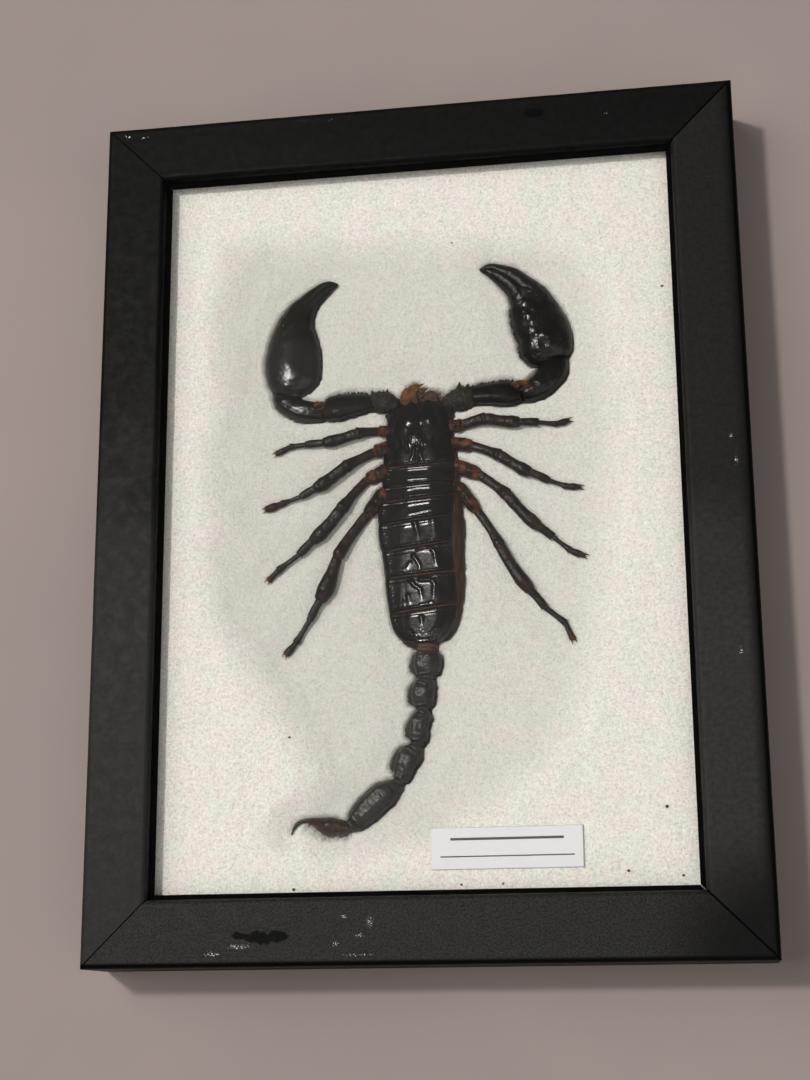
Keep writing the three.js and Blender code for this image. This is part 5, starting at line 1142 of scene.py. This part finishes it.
# tail
for i, st in enumerate(TAIL):
    g = Geo()
    C = np.array(st)
    C[:, 3] *= (0.95, 0.93, 0.90, 0.93, 0.96)[i]

    def shape(P, th, t, N):
        e = smooth(0.02, 0.16, t) * smooth(1.0, 0.90, t)
        teeth = granules(P, 0.7, 320 + i, 0.95)
        back, belly = ridge(th, 0.0, 0.42), ridge(th, math.pi, 0.6)
        if i < 4:
            # upper keel: rises to a blunt point behind, then steps in
            r = back * (0.55 * smooth(0.10, 0.62, t) * smooth(0.86, 0.76, t) - 0.95 * smooth(0.76, 0.86, t) - 0.75 * smooth(0.24, 0.02, t))
            r = r + belly * ((0.1 if i == 0 else -0.30) * bell(t - 0.5, 0.3) + (0.0 if i == 0 else 0.35) * smooth(0.3, 0.1, t) - 0.30 * smooth(0.08, 0.0, t) - 0.42 * smooth(0.92, 0.98, t))
        else:
            r = back * 0.12 * bell(t - 0.35, 0.3) + belly * 0.15 * smooth(0.7, 1.0, t)
        r = r + (0.03 + 0.26 * teeth * smooth(0.1, 0.6, t)) * ridge(th, math.pi * 0.03, 0.17) * e
        kk = 1.0 if i < 4 else 0.4
        r = r + kk * (0.09 + 0.08 * teeth) * (ridge(th, math.pi * 0.30, 0.13) + ridge(th, math.pi * 0.58, 0.13) + ridge(th, math.pi * 0.84, 0.14)) * e
        r = r - kk * 0.14 * (ridge(th, math.pi * 0.19, 0.17) + ridge(th, math.pi * 0.44, 0.17) + ridge(th, math.pi * 0.71, 0.17)) * e
        ends = 0.16 * bell(t - 0.90, 0.035) - 0.22 * bell(t - 0.96, 0.025) - 0.16 * bell(t - 0.09, 0.03) + 0.10 * bell(t - 0.15, 0.03)
        return r + ends * kk + 0.20 * fbm(P * 0.55, 3, 330 + i) + kk * 0.045 * fbm(P * 1.7, 3, 335 + i) + 0.025 * granules(P, 0.5, 340 + i, 0.6)

    def tonef(P, th, t):
        e = 0.22 * smooth(0.10, 0.0, t)
        return np.clip(0.04 + e + (0.55 * smooth(0.28, 0.06, t) if i == 0 else 0) + 0.16 * fbm(P * 0.6, 3, 350), 0, 1)

    tube(g, C, nu=74, nv=74, n=2.35, cap=(0.5, 0.5), shape=shape, tone=tonef)
    nx = np.array((TAIL[i + 1] if i < 4 else TELSON)[0][:3])
    blob(g, (C[-1, :3] + nx) / 2, (1.25, 1.1, 1.35), 0.45 if i == 1 else 0.12, 26, 16, i, 0.14)
    if i == 0:
        blob(g, (1.05, -30.55, 11.0), (2.35, 1.45, 2.25), 0.62, 44, 28, 9, 0.12)
    nn = unit(np.array([[RNG.normal(), RNG.normal(), abs(RNG.normal()) * 0.7] for _ in range(50)]))
    R0 = C[RNG.integers(0, len(C), 50)]
    hairs(g, R0[:, :3] + nn * np.stack([R0[:, 3], R0[:, 3], R0[:, 4]], 1) * 0.95, nn, 0.7, 0.026, 0.2, 0.4)
    done(g, f"tail_segment_{i + 1}", "tail", "cuticle")

g = Geo()


def shape(P, th, t, N):
    e = smooth(0.5, 0.35, t)
    return e * (0.10 * fbm(P * 0.8, 3, 360) + 0.09 * granules(P, 0.6, 361, 0.6) * (0.35 + ridge(th, math.pi, 1.0)))


tube(g, TELSON, nu=49, nv=92, n=2.1, cap=(0.5, 0.8), shape=shape, tone=lambda P, th, t: np.clip(0.15 + 0.2 * smooth(0.1, 0, t) + 0.22 * bell(t - 0.48, 0.14) + 0.2 * fbm(P * 0.8, 3, 4) - 0.2 * smooth(0.6, 0.8, t), 0, 1))
C = np.array(TELSON[:7])
nn = unit(np.array([[RNG.normal() * 0.5 - 0.2, -abs(RNG.normal()) - 0.1, RNG.normal() * 0.5] for _ in range(64)]))
R0 = C[RNG.integers(0, len(C), 64)] + RNG.normal(size=(64, 5)) * [0.5, 0, 0, 0, 0]
hairs(g, R0[:, :3] + nn * np.stack([R0[:, 3], R0[:, 3], R0[:, 4]], 1) * 0.9, unit(nn + [-0.35, 0, 0]), 1.45, 0.042, 0.2, 0.3)
done(g, "telson", "telson", "limb")


# ---------------------------------------------------------------- frame rails
CHIPS += [(-71.0, 99.3, 20, 0.9, 0.4), (-67.0, 98.8, 20, 1.0, 0.4),
          (-16.6, -91.2, 20, 0.5, 0.4), (-11.0, -92.3, 20, 0.8, 1.2), (-13.0, -95.1, 20, 1.0, 0.4), (-18.6, -96.9, 20, 0.7, 0.5),
          (-46.1, -98.8, 20, 1.5, 0.5), (-40.2, -97.2, 20, 2.6, 0.6), (-13.5, -99.3, 20, 3.2, 0.25),
          (46.6, 95.2, 20, 0.4, 0.3), (-19.9, 99.3, 20, 0.5, 0.3),
          (71.7, 13.4, 20, 0.4, 0.6), (72.5, 7.4, 20, 0.5, 1.1), (71.3, -35.7, 20, 0.4, 0.8)]
SMUDGE += [(-39.2, -94.9, 20, 2.4, 0.9), (-35.4, -95.4, 20, 3.8, 1.4), (-31.8, -95.3, 20, 3.2, 1.3), (29.3, 96.8, 20, 2.6, 1.4)]
M["frame"] = mat_frame()


def rail_profile():
    """(u from the outer edge, z, wear; 1 = the lip, painted near-black as shade) round the rail's section."""
    pts = [(0.0, 0.35, 0.3), (0.35, 0.0, 0.3), (4.0, 0.0, 0.0), (8.0, 0.0, 0.0), (11.6, 0.0, 0.2), (11.9, 0.3, 0.2), (11.9, 4.0, 0), (11.9, 9.0, 0), (11.9, 14.0, 0), (11.9, 16.7, 1), (14.0, 16.7, 1), (15.85, 16.7, 1), (16.0, 16.8, 1), (16.0, 16.98, 1), (15.9, 17.12, 1), (15.5, 17.35, 1), (15.1, 17.75, 1), (14.85, 18.15, 1), (STEP_U, 18.45, 0.7)]
    r = 1.25
    cu, cz = STEP_U - r, FRAME_D - r
    for k in range(9):
        a = k / 8 * math.pi / 2
        pts.append((cu + r * math.cos(a), cz + r * math.sin(a), 0.30 + 0.36 * math.sin(2 * a)))
    for k in range(1, 14):
        u = cu + (1.2 - cu) * k / 14
        crown = 0.05 * math.sin(math.pi * k / 14)
        pts.append((u, FRAME_D - 0.05 + crown, 0.0))
    r = 1.2
    for k in range(9):
        a = math.pi / 2 + k / 8 * math.pi / 2
        pts.append((r + r * math.cos(a), FRAME_D - r + r * math.sin(a), 0.28 + 0.40 * math.sin(2 * (a - math.pi / 2))))
    for k in range(1, 8):
        pts.append((0.0, (FRAME_D - r) * (1 - k / 8) + 0.35 * k / 8, 0.05))
    return np.array(pts)


def rail(name, side):
    prof = rail_profile()
    u, zz, wear = prof.T
    long = FRAME_W if side in ("top", "bottom") else FRAME_H
    n = int(long / 2.0)
    s = np.linspace(0, 1, n)
    m = np.array([0.12, 0.2, 0.3, 0.38, 0.6]) / long
    s = np.sort(np.concatenate([s, m, 1 - m]))
    e = long / 2 - u - 0.06 * math.sqrt(2)
    along = -e[None] + 2 * e[None] * s[:, None]
    across = (FRAME_H if side in ("top", "bottom") else FRAME_W) / 2 - u[None] + 0 * along
    Z = zz[None] + 0 * along
    if side == "top":
        V = np.stack([along, across, Z], -1)
    elif side == "bottom":
        V = np.stack([-along, -across, Z], -1)
    elif side == "left":
        V = np.stack([-across, along, Z], -1)
    else:
        V = np.stack([across, -along, Z], -1)
    tone = np.repeat(wear[None], len(s), 0)
    # hand-finished surface: slow waviness and worn, slightly dented edges
    q = np.stack([u[None] + 0 * along, along, Z], -1)
    sd = {"top": 1, "bottom": 2, "left": 3, "right": 4}[side]
    cen = np.array([8.0, 0, 14.0])
    nrm = unit((q - cen) * [1, 0, 1])
    live = smooth(0.2, 0.7, wear[None] + 0 * along) * (wear[None] < 0.9) * 0.08 * np.minimum(0, fbm(q * [0.3, 0.22, 0.3], 4, 400 + sd) + 0.12)
    face = (zz[None] > 19.0) * 0.035 * fbm(q * 0.09, 3, 410 + sd)
    amt = (live + face) * smooth(0, 0.01, np.minimum(s, 1 - s))[:, None]
    d3 = {"top": np.stack([0 * along, -nrm[..., 0], nrm[..., 2]], -1), "bottom": np.stack([0 * along, nrm[..., 0], nrm[..., 2]], -1),
          "left": np.stack([nrm[..., 0], 0 * along, nrm[..., 2]], -1), "right": np.stack([-nrm[..., 0], 0 * along, nrm[..., 2]], -1)}[side]
    V = V + d3 * amt[..., None]
    # the open mitres, wider on the right: painted shade, the rail ends go near-black
    wide = np.where({"top": s > 0.5, "bottom": s < 0.5, "left": s > 2, "right": s < 2}[side], 0.34, 0.16)
    mitre_painted_shade = ((np.minimum(s, 1 - s) * long < wide)[:, None] & (zz[None] > 18.5)) * 1.0
    g = Geo()
    first = g.grid(V, np.clip(tone + mitre_painted_shade, 0, 1).ravel(), wrap=True)
    k = len(u)
    # the end caps in the mitres take the near-black painted shade too
    for row, flip in ((0, True), (len(s) - 1, False)):
        up, zp = 8.0, 17.5
        ee = (long / 2 - up - 0.06 * math.sqrt(2)) * (-1 if row == 0 else 1)
        ac = (FRAME_H if side in ("top", "bottom") else FRAME_W) / 2 - up
        p = {"top": (ee, ac, zp), "bottom": (-ee, -ac, zp), "left": (-ac, ee, zp), "right": (ac, -ee, zp)}[side]
        g.fan(p, first + row * k + np.arange(k), 1.0, flip=flip)
    ob = g.obj(name + "_form", M["frame"], "frame_black", (name,))
    mod = ob.modifiers.new("crease", "EDGE_SPLIT")
    mod.split_angle = math.radians(38)
    mod.use_edge_sharp = False
    return ob


for side in ("top", "bottom", "left", "right"):
    rail("frame_rail_" + side, side)

# ---------------------------------------------------------------- batting
PTS = np.concatenate(ALL)
CELL = 0.62
nx, ny = int(BAT_W / CELL) + 1, int(BAT_H / CELL) + 1
gx, gy = np.linspace(-BAT_W / 2, BAT_W / 2, nx), np.linspace(-BAT_H / 2, BAT_H / 2, ny)
X, Y = np.meshgrid(gx, gy, indexing="xy")
ii = np.clip(np.round((PTS[:, 0] + BAT_W / 2) / (BAT_W / (nx - 1))).astype(int), 0, nx - 1)
jj = np.clip(np.round((PTS[:, 1] + BAT_H / 2) / (BAT_H / (ny - 1))).astype(int), 0, ny - 1)
floor_z = np.full((ny, nx), 99.0)
np.minimum.at(floor_z, (jj, ii), PTS[:, 2])
top_z = np.full((ny, nx), -99.0)
np.maximum.at(top_z, (jj, ii), PTS[:, 2])
hit = floor_z < 90


def shifts(A, fn, fill):
    B = A.copy()
    Pd = np.pad(A, 1, constant_values=fill)
    for a in (0, 1, 2):
        for b in (0, 1, 2):
            B = fn(B, Pd[a:a + A.shape[0], b:b + A.shape[1]])
    return B


dist = np.where(hit, 0.0, 200.0)
for _ in range(80):
    Pd = np.pad(dist, 1, constant_values=200.0)
    for a, b, w in ((0, 1, 1), (2, 1, 1), (1, 0, 1), (1, 2, 1), (0, 0, 1.414), (0, 2, 1.414), (2, 0, 1.414), (2, 2, 1.414)):
        dist = np.minimum(dist, Pd[a:a + ny, b:b + nx] + w * CELL)


def blur(A, n):
    for _ in range(n):
        Pd = np.pad(A, 1, mode="edge")
        A = (Pd[:-2, 1:-1] + Pd[2:, 1:-1] + Pd[1:-1, :-2] + Pd[1:-1, 2:] + 4 * Pd[1:-1, 1:-1]) / 8
    return A


near = blur(dist, 30)
G3 = np.stack([X, Y, 0 * X], -1)
# outline of the nest that the specimen lies in
NEST = [(-46.1, 70.4), (-47.9, 57.4), (-48.7, 31.7), (-49.0, 6.7), (-48.1, -15.2), (-45.5, -27.3), (-37.3, -39.3), (-27.1, -51.2), (-23.6, -59.2), (-29.1, -66.5), (-29.9, -72.5), (-20.1, -77.2), (-7.6, -75.3), (3.6, -73.3), (17.1, -66.6), (28.5, -57.4), (36.0, -44.2), (41.1, -26.1), (44.2, -7.7), (46.1, 13.7), (45.9, 38.2), (43.8, 53.4), (40.1, 60.8), (29.5, 65.4), (17.5, 67.6), (5.4, 66.5), (-9.3, 67.1), (-21.6, 69.6), (-36.6, 72.9)]
inside = np.zeros(X.shape, bool)
for (ax, ay), (bx, by) in zip(NEST, NEST[1:] + NEST[:1]):
    cross = (ay > Y) != (by > Y)
    with np.errstate(divide="ignore", invalid="ignore"):
        inside ^= cross & (X < (bx - ax) * (Y - ay) / (by - ay if by != ay else 1e-9) + ax)
away = near_line(X, Y, NEST + NEST[:1]) * np.where(inside, -1.0, 1.0) + 2.2 * fbm(G3 * 0.06, 3, 500)
free = smooth(-7.0, 5.0, away)
h = 10.95 + 0.75 * smooth(0.0, 7.0, near) * (1 - free) + 2.9 * free
h = np.where(free > 0.02, np.minimum(h, 10.95 + 0.45 * dist + 0.3), h)
h = blur(h, 2)
h = h + (0.10 * fbm(G3 * 0.22, 4, 510) + 0.13 * fbm(G3 * 0.9, 3, 520)) * smooth(0.0, 2.0, dist)
h = np.where(hit, np.minimum(h, floor_z - 0.06), h)
inlabel = (X > LABEL[0] - 1.0) & (X < LABEL[1] + 1.0) & (Y > LABEL[2] - 1.0) & (Y < LABEL[3] + 1.0)
h = np.where(inlabel, np.minimum(h, LABEL[4] - 0.12), h)
h = np.clip(h, BAT_Z0 + 0.8, 14.08)
edge = np.minimum(np.minimum(X + BAT_W / 2, BAT_W / 2 - X), np.minimum(Y + BAT_H / 2, BAT_H / 2 - Y))
h = h - 0.25 * (1 - np.clip(edge / 1.5, 0, 1)) ** 2
# painted shade: the nest the specimen lies in is greyed in the colour, most on the left
nest_painted_shade = (1 - free) * np.interp(X, [-45, -18, 10, 40], [0.50, 0.44, 0.36, 0.30])
TOP = h

SPECKS += [(53.75, -68.5, 13.4, 0.45, 0.4), (45.0, -82.1, 13.4, 0.4, 0.35), (56.7, -83.4, 13.4, 0.35, 0.3), (-30.4, -50.7, 13.4, 0.3, 0.3), (-29.0, -84.8, 13.4, 0.35, 0.3), (57.9, 52.5, 13.4, 0.35, 0.3), (8.5, -84.4, 13.4, 0.3, 0.3), (17.7, -84.4, 13.4, 0.3, 0.25), (8.5, 67.4, 13.4, 0.25, 0.25)]
M["batting"] = mat_batting()
g = Geo()
lid_top = np.stack([X, Y, h], -1)
first = g.grid(lid_top, nest_painted_shade.ravel())
idx = np.arange(nx * ny).reshape(ny, nx)
rim = np.concatenate([idx[0, :], idx[1:, -1], idx[-1, -2::-1], idx[-2:0, 0]])
P = lid_top.reshape(-1, 3)[rim]
rows = [P]
for zf in (0.66, 0.33, 0.0):
    Q = P.copy()
    Q[:, 2] = BAT_Z0 + (P[:, 2] - BAT_Z0) * zf
    Q[:, :2] *= 1 - 0.004 * math.sin(math.pi * zf)
    rows.append(Q)
prev = first + rim
for Q in rows[1:]:
    k = g.points(Q, 0.5)
    j = np.arange(len(rim))
    j2 = (j + 1) % len(rim)
    g.q.append(np.stack([prev[j], k + j, k + j2, prev[j2]], -1))
    prev = k + j
g.fan((0, 0, BAT_Z0), prev, 0.5)
bat = g.obj("batting_pad", M["batting"], "batting", ("batting",))


def top_at(x, y):
    fx = np.clip((x + BAT_W / 2) / (BAT_W / (nx - 1)), 0, nx - 1.001)
    fy = np.clip((y + BAT_H / 2) / (BAT_H / (ny - 1)), 0, ny - 1.001)
    i, j = fx.astype(int), fy.astype(int)
    a, b = fx - i, fy - j
    return (TOP[j, i] * (1 - a) * (1 - b) + TOP[j, i + 1] * a * (1 - b) + TOP[j + 1, i] * (1 - a) * b + TOP[j + 1, i + 1] * a * b)


def cell(x, y):
    return (np.clip(np.round((y + BAT_H / 2) / (BAT_H / (ny - 1))).astype(int), 0, ny - 1),
            np.clip(np.round((x + BAT_W / 2) / (BAT_W / (nx - 1))).astype(int), 0, nx - 1))


M["fibre"] = mat_fibre()
keep_out = shifts(hit.astype(float), np.maximum, 0.0) > 0
for piece, seed in (("batting_strands_a", 71), ("batting_strands_b", 72)):
    rng = np.random.default_rng(seed)
    n, k = 3500, 5
    L = rng.uniform(2.0, 7.5, n)
    a0 = rng.uniform(0, 2 * math.pi, n)
    curl = rng.normal(0, 0.9, n)
    x = rng.uniform(-BAT_W / 2 + 2, BAT_W / 2 - 2, n)
    y = rng.uniform(-BAT_H / 2 + 2, BAT_H / 2 - 2, n)
    s = np.linspace(0, 1, k)
    ang = a0[:, None] + curl[:, None] * s[None] * 1.2
    step = (L / (k - 1))[:, None]
    px = x[:, None] + np.cumsum(np.cos(ang) * step, 1)
    py = y[:, None] + np.cumsum(np.sin(ang) * step, 1)
    lift = rng.uniform(0.0, 0.06, n)[:, None] * np.sin(math.pi * s)[None] + rng.uniform(-0.01, 0.02, n)[:, None]
    pz = np.minimum(top_at(px, py) + lift, 14.30)
    ok = (np.abs(px) < BAT_W / 2 - 0.5).all(1) & (np.abs(py) < BAT_H / 2 - 0.5).all(1) & ~keep_out[cell(px, py)].any(1)
    ok &= ~((px > LABEL[0] - 0.4) & (px < LABEL[1] + 0.4) & (py > LABEL[2] - 0.4) & (py < LABEL[3] + 0.4)).any(1)
    paths = np.stack([px, py, pz], -1)[ok]
    rad = rng.uniform(0.013, 0.024, len(paths))[:, None] * (0.55 + 0.45 * np.sin(math.pi * s))[None]
    g = Geo()
    strands(g, paths, rad, 0.5)
    ob = g.obj(piece, M["fibre"], "batting", (), outward=False)

# ---------------------------------------------------------------- caption card with two ruled lines
M["card"] = mat_card()
M["ink"] = mat_ink()
x0, x1, y0, y1, z0, z1 = LABEL


def card_z(x, y):
    return z0 + 0.06 * bell(x - x1, 6) + 0.05 * bell(x - x0, 5) + 0.015 * np.sin(x * 0.25)


g = Geo()
cx, cy = np.meshgrid(np.linspace(x0, x1, 100), np.linspace(y0, y1, 36))
inset = 0.03
top = np.stack([cx, cy, card_z(cx, cy) + 0.16], -1)
lid(g, top, 0.0, 0.15)
card = g.obj("caption_card_form", M["card"], "card", ("caption_card",))
g = Geo()
for ym, wid, hgt in ((-74.55, 25.0, 0.55), (-78.35, 29.5, 0.28)):
    xs = np.linspace(18.7 - wid / 2, 18.7 + wid / 2, 70)
    ys = np.array([ym - hgt / 2, ym - hgt / 6, ym + hgt / 6, ym + hgt / 2])
    rx, ry = np.meshgrid(xs, ys)
    lid(g, np.stack([rx, ry, card_z(rx, ry) + 0.178], -1), 0.0, 0.03)
g.obj("caption_rules", M["ink"], "card")

# ---------------------------------------------------------------- glass, back and fixings keep their CAD solids
M["glass"] = mat_glass()
M["board"] = mat_board()
M["steel"] = mat_steel()


def dress(node, mat):
    ob = frame["nodes"][node]
    ob.data.materials.clear()
    ob.data.materials.append(M[mat])
    return ob


glass = dress("glass_pane", "glass")
glass.visible_shadow = False
dress("backing_board", "board")
for nme in ("sawtooth_hanger", "hanger_nail_left", "hanger_nail_right", "framing_point_top", "framing_point_bottom", "framing_point_left", "framing_point_right"):
    dress(nme, "steel")

# ---------------------------------------------------------------- stage, light and camera
me = bpy.data.meshes.new("floor")
me.from_pydata([(-3, -3, 0), (3, -3, 0), (3, 3, 0), (-3, 3, 0)], [], [(0, 1, 2, 3)])
floor = bpy.data.objects.new("floor", me)
floor.location.z = -0.0004
bpy.context.scene.collection.objects.link(floor)
m = Nodes("pale_floor")
m.set(color=m.mix(m.span(m.noise(0.01, 3), 0.35, 0.65), (0.302, 0.252, 0.240), (0.320, 0.268, 0.254)), rough=0.9, spec=0.2)
me.materials.append(m.mat)


def area(name, direction, dist, size, power, color=(1, 1, 1)):
    d = unit(np.array(direction, float))
    lt = bpy.data.lights.new(name, "AREA")
    lt.shape = "DISK"
    lt.size = size
    lt.energy = power
    lt.color = color
    lt.cycles.use_multiple_importance_sampling = False
    ob = bpy.data.objects.new(name, lt)
    z = d
    x = unit(np.cross([0, 1.0, 0], z))
    y = np.cross(z, x)
    p = d * dist
    ob.matrix_world = Matrix([[x[k], y[k], z[k], p[k]] for k in range(3)] + [[0, 0, 0, 1]])
    bpy.context.scene.collection.objects.link(ob)
    ob.visible_transmission = False
    return ob


area("key", (-0.38, 0.22, 1.0), 2.4, 0.2, 27.0, (1.0, 0.965, 0.915))
area("side", (-0.75, 0.25, 1.0), 1.9, 1.9, 18.5, (1.0, 0.97, 0.93)).visible_glossy = False
area("fill", (0.45, -0.55, 1.0), 1.9, 2.4, 14.6, (1.0, 0.975, 0.945))
world = bpy.data.worlds.new("room")
bpy.context.scene.world = world
world.use_nodes = True
# a dim room with one large soft panel overhead, its far edge slanting across
wt = world.node_tree
bg = wt.nodes["Background"]
bg.inputs["Color"].default_value = (1.0, 0.975, 0.94, 1)


def wmath(op, a, b=0.0):
    n = wt.nodes.new("ShaderNodeMath")
    n.operation = op
    for sock, val in zip(n.inputs, (a, b)):
        if isinstance(val, bpy.types.NodeSocket):
            wt.links.new(val, sock)
        else:
            sock.default_value = val
    return n.outputs[0]


def wspan(v, a, b):
    n = wt.nodes.new("ShaderNodeMapRange")
    n.interpolation_type = "SMOOTHSTEP"
    wt.links.new(v, n.inputs["Value"])
    n.inputs["From Min"].default_value = a
    n.inputs["From Max"].default_value = b
    return n.outputs["Result"]


wco = wt.nodes.new("ShaderNodeTexCoord")
wsep = wt.nodes.new("ShaderNodeSeparateXYZ")
wt.links.new(wco.outputs["Generated"], wsep.inputs[0])
wz = wmath("MAXIMUM", wsep.outputs["Z"], 0.05)
wx, wy = wmath("DIVIDE", wsep.outputs["X"], wz), wmath("DIVIDE", wsep.outputs["Y"], wz)
far_edge = wmath("ADD", wy, wmath("MULTIPLY", wx, 0.4193))
panel = wmath("MULTIPLY", wspan(far_edge, 0.312, 0.287), wspan(wy, -0.45, -0.2))
panel = wmath("MULTIPLY", panel, wmath("MULTIPLY", wspan(wx, -0.75, -0.45), wspan(wx, 0.6, 0.35)))
rim = wmath("MULTIPLY", wspan(wsep.outputs["Z"], 0.35, 0.1), 0.08)
wt.links.new(wmath("ADD", wmath("ADD", rim, 0.045), wmath("MULTIPLY", panel, 0.12)), bg.inputs["Strength"])
world.cycles.sampling_method = "NONE"

cam_data = bpy.data.cameras.new("camera")
cam_data.lens = 61.667
cam_data.sensor_width = 36.0
cam_data.sensor_fit = "AUTO"
cam_data.clip_start = 0.01
cam = bpy.data.objects.new("camera", cam_data)
bpy.context.scene.collection.objects.link(cam)
cam.matrix_world = Matrix(((0.987535, 0.047489, 0.150065, 0.0606249), (-0.007821, 0.967026, -0.254557, -0.1144353), (-0.157205, 0.25021, 0.955344, 0.4220721), (0, 0, 0, 1)))
bpy.context.scene.camera = cam
sc = bpy.context.scene
sc.view_settings.view_transform = "Standard"
sc.view_settings.look = "None"
sc.cycles.use_denoising = True
sc.cycles.blur_glossy = 0.0
sc.cycles.max_bounces = 12
sc.cycles.transmission_bounces = 8
sc.cycles.sample_clamp_indirect = 4.0
